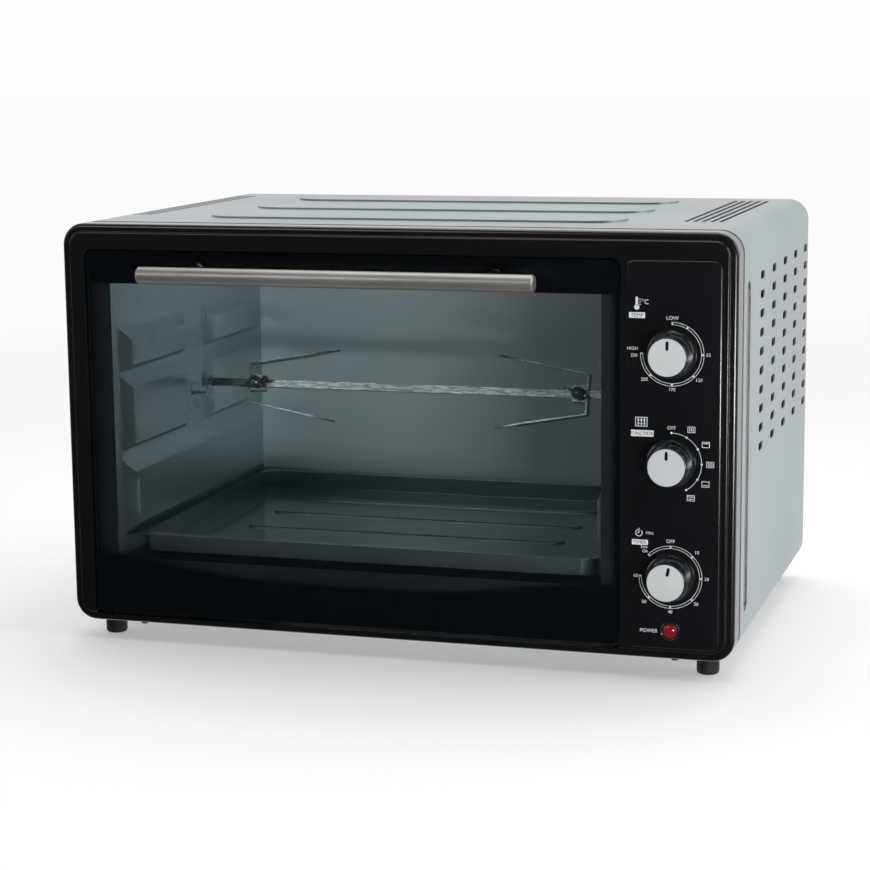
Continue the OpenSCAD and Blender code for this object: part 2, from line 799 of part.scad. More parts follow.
module spit_rod() {
    w = rod_w / 2;
    neck_x0 = support_x - 2;
    neck_x1 = support_x + 6;
    color("silver") on_spit() {
        translate([neck_x1, -w, -w]) cube([rod_x1 - 6 - neck_x1, rod_w, rod_w]);
        translate([rod_x1 - 6 - eps, 0, 0]) rotate([0, 90, 0]) rotate(45)
            cylinder(h = 6, d1 = rod_w * sqrt(2), d2 = 2.4, $fn = 4);
        turned(neck_d, neck_x0 - eps, neck_x1 + eps);
        turned(neck_d + 3, rod_x0 + 1, neck_x0);
        translate([rod_x0, 0, 0]) rotate([0, 90, 0]) cylinder(h = 1 + eps, d1 = neck_d, d2 = neck_d + 3);
        turned(neck_d + 2.5, support_x + 3.5, support_x + 5);
    }
}

hub_len = 12;
hub_w = 14;
fork_screw_d = 4;

// A fork with its plate at x = 0 and its prongs towards +x.
module fork() {
    t = 1.5;
    bore = rod_w + 2 * 0.15;
    c = cos(prong_angle);
    s = sin(prong_angle);
    h = fork_h / 2;
    tip = prong_len * c;
    inner = h - t / c + t * s / c;
    difference() {
        union() {
            intersection() {
                translate([0, fork_w / 2, 0]) rotate([90, 0, 0]) linear_extrude(fork_w)
                    polygon([[0, h], [tip, h + prong_len * s], [tip + t * s, h + prong_len * s - t * c],
                             [t, inner], [t, -inner],
                             [tip + t * s, t * c - h - prong_len * s], [tip, -h - prong_len * s], [0, -h]]);
                translate([0, 0, -prong_len]) linear_extrude(2 * prong_len)
                    polygon([[-cut, -fork_w], [10, -fork_w], [tip - 26, -fork_w / 2 - eps], [tip - 0.5, 0],
                             [tip - 26, fork_w / 2 + eps], [10, fork_w], [-cut, fork_w]]);
            }
            translate([t - eps, -hub_w / 2, -hub_w / 2]) cube([hub_len, hub_w, hub_w]);
        }
        translate([-cut, -bore / 2, -bore / 2]) cube([hub_len + t + 2 * cut, bore, bore]);
        translate([t + hub_len / 2, 0, 0]) rotate([90, 0, 0])
            cylinder(h = hub_w, d = fork_screw_d + 2 * run_gap);
    }
}

// The thumbscrew of a fork, along -y from the rod.
module fork_screw() {
    head_y = hub_w / 2 + 1.5;
    translate([1.5 + hub_len / 2, 0, 0]) rotate([90, 0, 0]) {
        translate([0, 0, rod_w / 2 + 0.1]) cylinder(h = head_y - rod_w / 2, d = fork_screw_d);
        translate([0, 0, head_y]) cylinder(h = 5, d1 = 8, d2 = 11);
        translate([0, 0, head_y + 5]) intersection() {
            translate([0, 0, -3.5]) sphere(r = 6.5, $fn = 48);
            translate([0, 0, -eps]) cylinder(h = 4, d = 20);
        }
        for (s = [-1, 1]) rotate(20) translate([s * 8.5, 0, head_y + 4]) rotate([90, 0, 0])
            translate([0, 0, -1]) cylinder(h = 2, d = 9);
    }
}

left_fork_x = cav_x0 + left_fork_gap;
right_fork_x = cav_x1 - right_fork_gap;

module left_fork() color("silver") on_spit() translate([left_fork_x, 0, 0]) fork();
module left_fork_screw() color("silver") on_spit() translate([left_fork_x, 0, 0]) fork_screw();
module right_fork() {
    color("silver") on_spit() translate([right_fork_x, 0, 0]) mirror([1, 0, 0]) fork();
}
module right_fork_screw() {
    color("silver") on_spit() translate([right_fork_x, 0, 0]) mirror([1, 0, 0]) fork_screw();
}

motor_x0 = cav_x1 + cav_t + 4;

module drive_socket() {
    bore = rod_w + 2 * rest_gap;
    color("silver") on_spit() {
        difference() {
            turned(16, socket_x0, socket_x1);
            translate([socket_x0 - cut, -bore / 2, -bore / 2]) cube([11 + cut, bore, bore]);
        }
        turned(8, socket_x1 - eps, motor_x0 + 14);
    }
}

module spit_support() {
    w = 7;
    low = spit_z - 10;
    arm_x1 = support_x + 1;
    color("silver") in_case() difference() {
        union() {
            box(cav_x0, spit_y - 9, spit_z - 26, cav_x0 + 1.5, spit_y + 9, spit_z - 2);
            box(cav_x0, spit_y - w, low - 1.5, arm_x1, spit_y + w, low);
            box(arm_x1 - 1.5, spit_y - w, low - eps, arm_x1, spit_y + w, spit_z + 5);
        }
        rod_x(spit_y, spit_z, neck_d + 2 * run_gap, support_x - 2, support_x + 3);
        box(support_x - 2, spit_y - neck_d / 2 - run_gap, spit_z,
            support_x + 3, spit_y + neck_d / 2 + run_gap, spit_z + 8);
    }
}

module spit_motor() {
    color("gainsboro") in_case() difference() {
        union() {
            box(motor_x0, spit_y - 28, spit_z - 28, motor_x0 + 22, spit_y + 28, spit_z + 28);
            rod_x(spit_y + 6, spit_z, 46, motor_x0 + 22 - eps, motor_x0 + 44);
            for (y = [-22, 22], z = [-22, 22])
                rod_x(spit_y + y, spit_z + z, 8, cav_x1 + cav_t, motor_x0 + eps);
        }
        rod_x(spit_y, spit_z, 8 + 2 * run_gap, motor_x0 - cut, motor_x0 + 14.2);
    }
}

// ---- controls -----------------------------------------------------------------

shaft_in = 12;
bush_y = cav_front - 7;

// Body of a control behind the front frame, w wide, h high and deep long.
module control_body(z, w, h, deep) {
    difference() {
        union() {
            box(dial_x - w / 2, cav_front, z - h / 2, dial_x + w / 2, cav_front + deep, z + h / 2);
            rod_y(dial_x, z, 10, bush_y, cav_front + eps);
        }
        rod_y(dial_x, z, shaft_d + 2 * run_gap, bush_y - cut, cav_front + shaft_in + 0.2);
    }
}

module tabs(z, y, count, pitch) {
    for (i = [0:count - 1])
        box(dial_x + (i - (count - 1) / 2) * pitch - 0.4, y - eps, z - 3,
            dial_x + (i - (count - 1) / 2) * pitch + 0.4, y + 9, z + 3);
}

module thermostat() {
    color("white") in_case() {
        control_body(temperature_z, 42, 28, 22);
        tabs(temperature_z - 6, cav_front + 22, 2, 16);
    }
}

module function_switch() {
    color("dimgray") in_case() {
        control_body(function_z, 44, 44, 38);
        tabs(function_z + 12, cav_front + 38, 4, 9);
        tabs(function_z - 12, cav_front + 38, 4, 9);
    }
}

timer_deep = 32;

module timer() {
    color("dimgray") in_case() {
        control_body(timer_z, 52, 52, timer_deep);
        rod_y(dial_x, timer_z, 5, cav_front + timer_deep - eps, cav_front + timer_deep + 4);
        tabs(timer_z - 22, cav_front + timer_deep, 2, 20);
    }
}

module timer_bell() {
    y0 = cav_front + timer_deep + 4;
    color("silver") in_case() {
        translate([dial_x, y0, timer_z]) rotate([-90, 0, 0]) difference() {
            intersection() {
                translate([0, 0, -13]) sphere(r = 24, $fn = 64);
                translate([0, 0, 0.5]) cylinder(h = 14, d = 60);
            }
            translate([0, 0, -13]) sphere(r = 23, $fn = 64);
        }
        rod_y(dial_x, timer_z, 5, y0, y0 + 10.5);
    }
}

module terminal_block() {
    color("white") in_case() difference() {
        box(side_x - 84, 250, 2 * sheet_t, side_x - 34, 268, 22);
        for (i = [0:2]) translate([side_x - 76 + i * 17, 259, 12]) cylinder(h = 12, d = 5);
    }
}

loom_x = side_x - 16;
loom_y = 88;
loom_d = 6;

// The wires: a trunk up the side of the control space, with a branch to each control.
module wiring() {
    top = temperature_z - 6;
    color("black") in_case() {
        translate([loom_x, loom_y, 12]) cylinder(h = top - 12 + loom_d / 2, d = loom_d);
        rod_y(loom_x, 12, loom_d, loom_y, 259);
        rod_x(259, 12, loom_d, side_x - 34, loom_x);
        for (p = [[top, 22, 21], [function_z, 38, 22], [timer_z + 10, timer_deep, 26]]) {
            rod_y(loom_x, p[0], 4, cav_front + p[1] - 8, loom_y);
            rod_x(cav_front + p[1] - 8, p[0], 4, dial_x + p[2], loom_x);
        }
    }
}

// A black knob with its skirt at the panel and a recess for the silver cap.
module knob(z) {
    back = panel_t + 0.5;
    front = knob_reach;
    color([0.05, 0.05, 0.06]) in_case() translate([dial_x, 0, z]) rotate([90, 0, 0]) difference() {
        union() {
            translate([0, 0, back]) cylinder(h = 3, d = knob_d);
            translate([0, 0, back + 3 - eps]) cylinder(h = front - back - 3 + eps,
                d1 = knob_d - 2.6, d2 = cap_d + 1.2);
        }
        translate([0, 0, front - 0.8]) cylinder(h = 2, d = cap_d + 2 * run_gap);
        translate([0, 0, back - cut]) cylinder(h = 13 + cut, d = shaft_d + 2 * run_gap);
    }
}

module knob_cap(z, turn) {
    color("silver") in_case() translate([dial_x, -knob_reach + 0.8, z]) rotate([90, 0, 0]) difference() {
        cylinder(h = 0.8, d = cap_d);
        rotate(-turn) translate([0, 0, -cut]) linear_extrude(3)
            rounded(-1.25, cap_d / 2 - 9.1, 1.25, cap_d / 2 - 2.1, 1.24);
    }
}

module knob_shaft(z) {
    color("silver") in_case()
        rod_y(dial_x, z, shaft_d, -panel_t - 13.5, cav_front + shaft_in);
}

module temperature_knob() knob(temperature_z);
module temperature_cap() knob_cap(temperature_z, 0);
module temperature_shaft() knob_shaft(temperature_z);
module function_knob() knob(function_z);
module function_cap() knob_cap(function_z, 0);
module function_shaft() knob_shaft(function_z);
module timer_knob() knob(timer_z);
module timer_cap() knob_cap(timer_z, timer_rest);
module timer_shaft() knob_shaft(timer_z);

outer_shell();
front_bezel();
control_panel();
front_frame();
base_pan();
back_panel();
front_feet();
rear_feet();
foot_screws();
base_screws();
back_screws();
cavity_left_wall();
cavity_right_wall();
cavity_roof();
cavity_floor();
cavity_back_wall();
upper_front_heater();
upper_rear_heater();
lower_front_heater();
lower_rear_heater();
heater_insulators();
spit_support();
spit_motor();
thermostat();
function_switch();
timer();
timer_bell();
power_lamp_lens();
power_lamp_body();
terminal_block();
wiring();
cord_gland();
left_hinge_bracket();
right_hinge_bracket();
door_glass();
door_top_rail();
door_bottom_rail();
door_hinge_pins();
door_springs();
handle_bar();
handle_end_caps();
handle_posts();
handle_screws();
baking_tray();
spit_rod();
left_fork();
right_fork();
left_fork_screw();
right_fork_screw();
drive_socket();
temperature_knob();
temperature_cap();
temperature_shaft();
function_knob();
function_cap();
function_shaft();
timer_knob();
timer_cap();
timer_shaft();
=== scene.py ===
import math
import bpy
from mathutils import Matrix, Vector


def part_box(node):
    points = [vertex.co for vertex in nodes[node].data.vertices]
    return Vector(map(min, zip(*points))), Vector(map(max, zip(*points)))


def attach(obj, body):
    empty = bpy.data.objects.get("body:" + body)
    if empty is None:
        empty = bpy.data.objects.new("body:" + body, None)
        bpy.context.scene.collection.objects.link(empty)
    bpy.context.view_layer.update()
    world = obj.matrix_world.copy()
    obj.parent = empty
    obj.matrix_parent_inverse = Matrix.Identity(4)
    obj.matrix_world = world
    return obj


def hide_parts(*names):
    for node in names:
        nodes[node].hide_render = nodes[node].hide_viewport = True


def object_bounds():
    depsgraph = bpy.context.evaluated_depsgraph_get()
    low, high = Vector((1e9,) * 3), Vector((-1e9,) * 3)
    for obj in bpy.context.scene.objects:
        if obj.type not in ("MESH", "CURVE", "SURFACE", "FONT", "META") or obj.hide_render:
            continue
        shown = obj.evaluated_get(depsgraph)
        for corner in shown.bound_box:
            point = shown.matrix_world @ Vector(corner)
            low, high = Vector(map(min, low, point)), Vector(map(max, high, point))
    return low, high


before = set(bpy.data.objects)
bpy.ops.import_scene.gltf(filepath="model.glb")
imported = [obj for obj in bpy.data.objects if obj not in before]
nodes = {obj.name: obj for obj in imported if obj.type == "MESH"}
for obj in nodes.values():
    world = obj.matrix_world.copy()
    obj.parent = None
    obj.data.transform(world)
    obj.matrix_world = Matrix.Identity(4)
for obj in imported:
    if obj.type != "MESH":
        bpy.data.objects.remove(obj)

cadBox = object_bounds()
mm = 0.001


# where things are, from the frame's own boxes

bezelLow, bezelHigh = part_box("front_bezel")
shellLow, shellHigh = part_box("outer_shell")
glassLow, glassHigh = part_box("door_glass")
panelLow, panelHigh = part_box("control_panel")
frontY = bezelLow[1]
floorZ = bezelLow[2]


def middle(node):
    low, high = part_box(node)
    return [(low[k] + high[k]) / 2 for k in range(3)]


def inCase(x, y, z):
    return Vector((x * mm, frontY + y * mm, floorZ + z * mm))


dialX = middle("temperature_knob")[0]
dialZ = {name: middle(name + "_knob")[2] for name in ("temperature", "function", "timer")}


# modelling helpers

def deselect():
    for other in list(bpy.context.selected_objects):
        other.select_set(False)


def pick(piece):
    deselect()
    piece.select_set(True)
    bpy.context.view_layer.objects.active = piece


def settle(piece):
    pick(piece)
    bpy.ops.object.transform_apply(location=True, rotation=True, scale=True)


def editMode(piece, kind="FACE"):
    pick(piece)
    bpy.ops.object.mode_set(mode="EDIT")
    bpy.ops.mesh.select_mode(type=kind)


def objectMode():
    bpy.ops.object.mode_set(mode="OBJECT")


def applyAll(piece):
    pick(piece)
    for modifier in list(piece.modifiers):
        bpy.ops.object.modifier_apply(modifier=modifier.name)


def smooth(piece, degrees=35):
    pick(piece)
    bpy.ops.object.shade_smooth_by_angle(angle=math.radians(degrees))


def roundEdges(piece, width, segments=2, angle=35):
    bevel = piece.modifiers.new("roundEdges", "BEVEL")
    bevel.width = width * mm
    bevel.segments = segments
    bevel.limit_method = "ANGLE"
    bevel.angle_limit = math.radians(angle)
    bevel.use_clamp_overlap = True
    applyAll(piece)
    smooth(piece, angle)
    weights = piece.modifiers.new("evenNormals", "WEIGHTED_NORMAL")
    weights.keep_sharp = True
    applyAll(piece)


def cutAway(piece, cutter, keepCutter=False):
    boolean = piece.modifiers.new("cutAway", "BOOLEAN")
    boolean.operation = "DIFFERENCE"
    boolean.solver = "EXACT"
    boolean.object = cutter
    applyAll(piece)
    if not keepCutter:
        bpy.data.objects.remove(cutter, do_unlink=True)


def joinAll(pieces):
    deselect()
    for piece in pieces:
        piece.select_set(True)
    bpy.context.view_layer.objects.active = pieces[0]
    bpy.ops.object.join()
    return pieces[0]


def copyOf(piece, offset):
    twin = piece.copy()
    twin.data = piece.data.copy()
    bpy.context.collection.objects.link(twin)
    twin.location = offset
    settle(twin)
    return twin


def blank(name, x0, x1, z0, z1, y, radii=(0, 0, 0, 0), segments=10):
    bpy.ops.mesh.primitive_plane_add(size=1, location=((x0 + x1) / 2, y, (z0 + z1) / 2),
                                     rotation=(math.pi / 2, 0, 0))
    piece = bpy.context.object
    piece.name = name
    piece.scale = (x1 - x0, z1 - z0, 1)
    settle(piece)
    corners = [(x0, z0), (x1, z0), (x1, z1), (x0, z1)]
    for (x, z), radius in zip(corners, radii):
        if radius <= 0:
            continue
        editMode(piece, "VERT")
        bpy.ops.mesh.select_all(action="DESELECT")
        objectMode()
        nearest = min(piece.data.vertices, key=lambda v: (v.co.x - x) ** 2 + (v.co.z - z) ** 2)
        nearest.select = True
        editMode(piece, "VERT")
        bpy.ops.mesh.bevel(offset=radius, offset_type="OFFSET", segments=segments, affect="VERTICES")
        objectMode()
    editMode(piece)
    bpy.ops.mesh.select_all(action="SELECT")
    objectMode()
    return piece


def pull(piece, length):
    editMode(piece)
    bpy.ops.mesh.extrude_region_move(TRANSFORM_OT_translate={"value": (0, -length, 0)})
    objectMode()


def stepIn(piece, steps):
    editMode(piece)
    for inward, forward in steps:
        bpy.ops.mesh.inset(thickness=inward, depth=forward)
    objectMode()


def closeBack(piece):
    editMode(piece, "EDGE")
    bpy.ops.mesh.select_all(action="DESELECT")
    bpy.ops.mesh.select_non_manifold()
    bpy.ops.mesh.edge_face_add()
    bpy.ops.mesh.select_all(action="SELECT")
    bpy.ops.mesh.normals_make_consistent(inside=False)
    objectMode()


def arcSteps(radius, count=5, squash=1.0):
    out = []
    for i in range(count):
        a, b = math.pi / 2 * i / count, math.pi / 2 * (i + 1) / count
        out.append((radius * (math.cos(a) - math.cos(b)), radius * squash * (math.sin(b) - math.sin(a))))
    return out


def rod(name, x, z, y0, y1, radius, sides=40):
    bpy.ops.mesh.primitive_cylinder_add(vertices=sides, radius=radius, depth=y1 - y0,
                                        location=(x, (y0 + y1) / 2, z), rotation=(math.pi / 2, 0, 0))
    piece = bpy.context.object
    piece.name = name
    settle(piece)
    return piece


def block(name, x0, y0, z0, x1, y1, z1):
    bpy.ops.mesh.primitive_cube_add(size=1, location=((x0 + x1) / 2, (y0 + y1) / 2, (z0 + z1) / 2))
    piece = bpy.context.object
    piece.name = name
    piece.scale = (x1 - x0, y1 - y0, z1 - z0)
    settle(piece)
    return piece


def lathe(name, profile, x, y, z, steps=72):
    bpy.ops.mesh.primitive_plane_add(size=0.001, location=(0, 0, 0))
    piece = bpy.context.object
    piece.name = name
    editMode(piece, "VERT")
    bpy.ops.mesh.delete(type="VERT")
    objectMode()
    piece.data.from_pydata([(r * mm, f * mm, 0) for r, f in profile],
                           [(i, i + 1) for i in range(len(profile) - 1)], [])
    editMode(piece, "VERT")
    bpy.ops.mesh.select_all(action="SELECT")
    bpy.ops.mesh.spin(steps=steps, angle=2 * math.pi, center=(0, 0, 0), axis=(0, 1, 0))
    bpy.ops.mesh.select_all(action="SELECT")
    bpy.ops.mesh.remove_doubles(threshold=1e-6)
    bpy.ops.mesh.normals_make_consistent(inside=False)
    objectMode()
    piece.location = (x, y, z)
    settle(piece)
    return piece


def softCopy(node, name, width, segments=2, angle=35):
    mesh = nodes[node].data.copy()
    piece = bpy.data.objects.new(name, mesh)
    bpy.context.collection.objects.link(piece)
    pick(piece)
    if mesh.has_custom_normals:
        bpy.ops.mesh.customdata_custom_splitnormals_clear()
    editMode(piece)
    bpy.ops.mesh.select_all(action="SELECT")
    bpy.ops.mesh.remove_doubles(threshold=2e-6)
    bpy.ops.mesh.dissolve_limited(angle_limit=math.radians(0.6))
    objectMode()
    roundEdges(piece, width, segments, angle)
    return piece


def place(piece, body, material, stands=()):
    piece.data.materials.clear()
    piece.data.materials.append(material)
    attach(piece, body)
    if stands:
        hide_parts(*stands)
    return piece


# shader groups

def put(tree, kind, inputs=None, **settings):
    node = tree.nodes.new(kind)
    for key, value in settings.items():
        setattr(node, key, value)
    for key, value in (inputs or {}).items():
        socket = node.inputs[key]
        if isinstance(value, bpy.types.NodeSocket):
            tree.links.new(value, socket)
        else:
            socket.default_value = value
    return node


def newGroup(name, inputs, outputs):
    tree = bpy.data.node_groups.new(name, "ShaderNodeTree")
    for label, kind, value in inputs:
        socket = tree.interface.new_socket(label, in_out="INPUT", socket_type=kind)
        if value is not None:
            socket.default_value = value
    for label, kind in outputs:
        tree.interface.new_socket(label, in_out="OUTPUT", socket_type=kind)
    return tree, tree.nodes.new("NodeGroupInput"), tree.nodes.new("NodeGroupOutput")


def grainGroup():
    tree, start, end = newGroup("fineGrain", [("Vector", "NodeSocketVector", None),
                                              ("Scale", "NodeSocketFloat", 800.0),
                                              ("Stretch", "NodeSocketVector", (1, 1, 1))],
                                [("Mask", "NodeSocketFloat"), ("Height", "NodeSocketFloat")])
    stretched = put(tree, "ShaderNodeVectorMath", {0: start.outputs["Vector"], 1: start.outputs["Stretch"]},
                    operation="MULTIPLY")
    noise = put(tree, "ShaderNodeTexNoise", {"Vector": stretched.outputs[0], "Scale": start.outputs["Scale"],
                                             "Detail": 5.0, "Roughness": 0.62})
    spread = put(tree, "ShaderNodeMapRange", {"Value": noise.outputs["Fac"], "From Min": 0.35, "From Max": 0.65})
    tree.links.new(spread.outputs["Result"], end.inputs["Mask"])
    tree.links.new(noise.outputs["Fac"], end.inputs["Height"])
    return tree


def cloudGroup():
    tree, start, end = newGroup("slowClouds", [("Vector", "NodeSocketVector", None),
                                               ("Scale", "NodeSocketFloat", 6.0),
                                               ("Low", "NodeSocketColor", None),
                                               ("High", "NodeSocketColor", None)],
                                [("Color", "NodeSocketColor"), ("Mask", "NodeSocketFloat")])
    noise = put(tree, "ShaderNodeTexNoise", {"Vector": start.outputs["Vector"], "Scale": start.outputs["Scale"],
                                             "Detail": 3.0, "Distortion": 0.4})
    spread = put(tree, "ShaderNodeMapRange", {"Value": noise.outputs["Fac"], "From Min": 0.3, "From Max": 0.7})
    mix = put(tree, "ShaderNodeMix", {0: spread.outputs["Result"], 6: start.outputs["Low"],
                                      7: start.outputs["High"]}, data_type="RGBA")
    tree.links.new(mix.outputs[2], end.inputs["Color"])
    tree.links.new(spread.outputs["Result"], end.inputs["Mask"])
    return tree


def spangleGroup():
    tree, start, end = newGroup("zincSpangle", [("Vector", "NodeSocketVector", None),
                                                ("Scale", "NodeSocketFloat", 90.0)],
                                [("Mask", "NodeSocketFloat"), ("Height", "NodeSocketFloat")])
    noise = put(tree, "ShaderNodeTexNoise", {"Vector": start.outputs["Vector"], "Scale": 40.0, "Detail": 2.0})
    bent = put(tree, "ShaderNodeMix", {0: 0.06, 4: start.outputs["Vector"], 5: noise.outputs["Color"]},
               data_type="VECTOR")
    cells = put(tree, "ShaderNodeTexVoronoi", {"Vector": bent.outputs[1], "Scale": start.outputs["Scale"]})
    split = put(tree, "ShaderNodeSeparateColor", {"Color": cells.outputs["Color"]})
    tree.links.new(split.outputs["Red"], end.inputs["Mask"])
    tree.links.new(cells.outputs["Distance"], end.inputs["Height"])
    return tree


def streakGroup():
    tree, start, end = newGroup("wipeMarks", [("Vector", "NodeSocketVector", None),
                                              ("Scale", "NodeSocketFloat", 30.0)],
                                [("Mask", "NodeSocketFloat")])
    stretched = put(tree, "ShaderNodeVectorMath", {0: start.outputs["Vector"], 1: (0.15, 1.0, 1.0)},
                    operation="MULTIPLY")
    noise = put(tree, "ShaderNodeTexNoise", {"Vector": stretched.outputs[0], "Scale": start.outputs["Scale"],
                                             "Detail": 8.0, "Roughness": 0.7})
    spread = put(tree, "ShaderNodeMapRange", {"Value": noise.outputs["Fac"], "From Min": 0.5, "From Max": 0.75})
    tree.links.new(spread.outputs["Result"], end.inputs["Mask"])
    return tree


groups = {"grain": grainGroup(), "clouds": cloudGroup(), "spangle": spangleGroup(), "streaks": streakGroup()}


def useGroup(tree, name, inputs):
    node = tree.nodes.new("ShaderNodeGroup")
    node.node_tree = groups[name]
    for key, value in inputs.items():
        if isinstance(value, bpy.types.NodeSocket):
            tree.links.new(value, node.inputs[key])
        else:
            node.inputs[key].default_value = value
    return node


def fromScreen(*rgb):
    return tuple(((c / 255 + 0.055) / 1.055) ** 2.4 if c > 10 else c / 255 / 12.92 for c in rgb) + (1.0,)


def finish(name, low, high, rough=(0.3, 0.45), metallic=0.0, clouds=6.0, grain=900.0, stretch=(1, 1, 1),
           bump=0.1, depth=0.0001, coat=0.0, coatRough=0.05, spangle=0.0, streaks=0.0, specular=0.5,
           glow=None):
    material = bpy.data.materials.new(name)
    material.use_nodes = True
    tree = material.node_tree
    shader = tree.nodes["Principled BSDF"]
    place3d = put(tree, "ShaderNodeTexCoord").outputs["Object"]
    cloud = useGroup(tree, "clouds", {"Vector": place3d, "Scale": clouds, "Low": low, "High": high})
    fine = useGroup(tree, "grain", {"Vector": place3d, "Scale": grain, "Stretch": stretch})
    color, mask, height = cloud.outputs["Color"], fine.outputs["Mask"], fine.outputs["Height"]
    if spangle:
        zinc = useGroup(tree, "spangle", {"Vector": place3d, "Scale": spangle})
        color = put(tree, "ShaderNodeMix", {0: zinc.outputs["Mask"], 6: color, 7: high},
                    data_type="RGBA").outputs[2]
        mask = put(tree, "ShaderNodeMath", {0: mask, 1: zinc.outputs["Mask"]}, operation="MULTIPLY").outputs[0]
    if streaks:
        wipe = useGroup(tree, "streaks", {"Vector": place3d, "Scale": streaks})
        mask = put(tree, "ShaderNodeMath", {0: mask, 1: wipe.outputs["Mask"]}, operation="MAXIMUM").outputs[0]
    roughness = put(tree, "ShaderNodeMapRange", {"Value": mask, "To Min": rough[0], "To Max": rough[1]})
    bumpNode = put(tree, "ShaderNodeBump", {"Strength": bump, "Distance": depth, "Height": height})
    tree.links.new(color, shader.inputs["Base Color"])
    tree.links.new(roughness.outputs["Result"], shader.inputs["Roughness"])
    tree.links.new(bumpNode.outputs["Normal"], shader.inputs["Normal"])
    shader.inputs["Metallic"].default_value = metallic
    shader.inputs["Specular IOR Level"].default_value = specular
    shader.inputs["Coat Weight"].default_value = coat
    shader.inputs["Coat Roughness"].default_value = coatRough
    if glow:
        shader.inputs["Emission Color"].default_value = glow
        shader.inputs["Emission Strength"].default_value = 1.0
    return material


silver = finish("silverCase", fromScreen(156, 164, 167), fromScreen(168, 176, 178), (0.34, 0.46), 0.75,
                4.0, 1400.0, bump=0.12, depth=0.00004)
blackFront = finish("satinBlackFront", fromScreen(7, 9, 10), fromScreen(12, 14, 16), (0.2, 0.28), 0.0,
                    8.0, 1600.0, bump=0.15, depth=0.00004, coat=0.25, coatRough=0.15)
blackPanel = finish("glossBlackPanel", fromScreen(7, 10, 13), fromScreen(12, 15, 19), (0.2, 0.28), 0.0,
                    10.0, 1800.0, bump=0.08, depth=0.00003, coat=0.3, coatRough=0.08)
galvanised = finish("galvanisedSheet", fromScreen(184, 206, 212), fromScreen(196, 216, 221), (0.26, 0.36), 0.5,
                    4.0, 900.0, bump=0.06, depth=0.00003)
# painted light: the back wall is the same galvanised sheet as the other cavity walls, coloured lighter to stand for
# the light falling on it
paintedLightBackSheet = finish("backSheetPaintedLight", fromScreen(226, 246, 251), fromScreen(236, 252, 255), (0.3, 0.4), 0.15,
                     4.0, 900.0, bump=0.06, depth=0.00003)
plainZinc = finish("zincPlate", fromScreen(150, 155, 156), fromScreen(178, 182, 182), (0.3, 0.45), 0.85,
                   7.0, 700.0, bump=0.15, depth=0.00005, spangle=120.0)
brushedBar = finish("brushedSteelBar", fromScreen(150, 153, 148), fromScreen(176, 178, 172), (0.36, 0.5), 0.85,
                    12.0, 2600.0, (0.03, 1, 1), bump=0.35, depth=0.00004)
spunCap = finish("spunSilverCap", fromScreen(200, 206, 207), fromScreen(212, 217, 217), (0.3, 0.42), 0.2,
                 40.0, 3000.0, (1, 0.2, 1), bump=0.2, depth=0.00002)
chrome = finish("brightPlating", fromScreen(190, 194, 194), fromScreen(214, 216, 214), (0.08, 0.2), 1.0,
                30.0, 900.0, bump=0.08, depth=0.00003, streaks=60.0)
spitSteel = finish("spitSteel", fromScreen(138, 146, 148), fromScreen(172, 180, 182), (0.2, 0.34), 0.9,
                   40.0, 500.0, (0.2, 1, 1), bump=0.03, depth=0.00002)
# painted shade: the front frame is the galvanised front flange, coloured dark to stand for the shade it lies in
frameSteelPaintedShade = finish("frameSteelPaintedShade", fromScreen(52, 58, 62), fromScreen(66, 73, 77), (0.3, 0.4), 0.5,
                    12.0, 900.0, bump=0.06, depth=0.00003)
darkHeater = finish("heatDarkenedTube", fromScreen(74, 72, 70), fromScreen(112, 106, 100), (0.35, 0.55), 0.8,
                    30.0, 1200.0, (0.3, 1, 1), bump=0.25, depth=0.00006)
trayEnamel = finish("darkTrayEnamel", fromScreen(118, 134, 138), fromScreen(132, 148, 152), (0.14, 0.22), 0.5,
                    7.0, 900.0, bump=0.04, depth=0.00003, coat=0.4, coatRough=0.08)
rubber = finish("blackRubber", fromScreen(14, 14, 14), fromScreen(30, 30, 30), (0.6, 0.8), 0.0,
                60.0, 1500.0, bump=0.3, depth=0.00008)
knobBlack = finish("glossKnobBlack", fromScreen(14, 19, 26), fromScreen(20, 27, 35), (0.16, 0.24), 0.0,
                   30.0, 2200.0, bump=0.06, depth=0.00002, coat=0.5, coatRough=0.06)
glossBlack = finish("glossPostBlack", fromScreen(8, 9, 11), fromScreen(14, 15, 18), (0.1, 0.18), 0.0,
                    30.0, 1500.0, bump=0.05, depth=0.00002, coat=0.6, coatRough=0.04)
printBlack = finish("darkGlassPrint", fromScreen(4, 3, 14), fromScreen(6, 5, 18), (0.2, 0.3), 0.0,
                    5.0, 900.0, bump=0.02, depth=0.00001, specular=0.12)
printWhite = finish("whitePrint", fromScreen(205, 208, 210), fromScreen(226, 228, 230), (0.5, 0.65), 0.0,
                    200.0, 3000.0, bump=0.1, depth=0.00001)
ceramic = finish("unglazedCeramic", fromScreen(214, 208, 196), fromScreen(232, 228, 218), (0.6, 0.8), 0.0,
                 60.0, 1600.0, bump=0.3, depth=0.00006)
darkPlastic = finish("switchPlastic", fromScreen(46, 46, 50), fromScreen(62, 62, 66), (0.4, 0.55), 0.0,
                     40.0, 1200.0, bump=0.2, depth=0.00005)
wireSleeve = finish("wireSleeve", fromScreen(30, 30, 32), fromScreen(48, 47, 46), (0.5, 0.7), 0.0,
                    60.0, 1000.0, (1, 1, 0.3), bump=0.4, depth=0.0001)
redLens = finish("redLens", fromScreen(100, 12, 20), fromScreen(132, 20, 28), (0.14, 0.22), 0.0,
                 150.0, 1500.0, bump=0.1, depth=0.00003, coat=0.25, coatRough=0.1,
                 glow=fromScreen(46, 6, 10))


pane = {"grain": 260.0, "smooth": 0.01, "rough": 0.05, "index": 1.5, "clearFrom": 0.04, "mirrorFrom": 0.6,
        "faint": 0.14, "strong": 0.9}


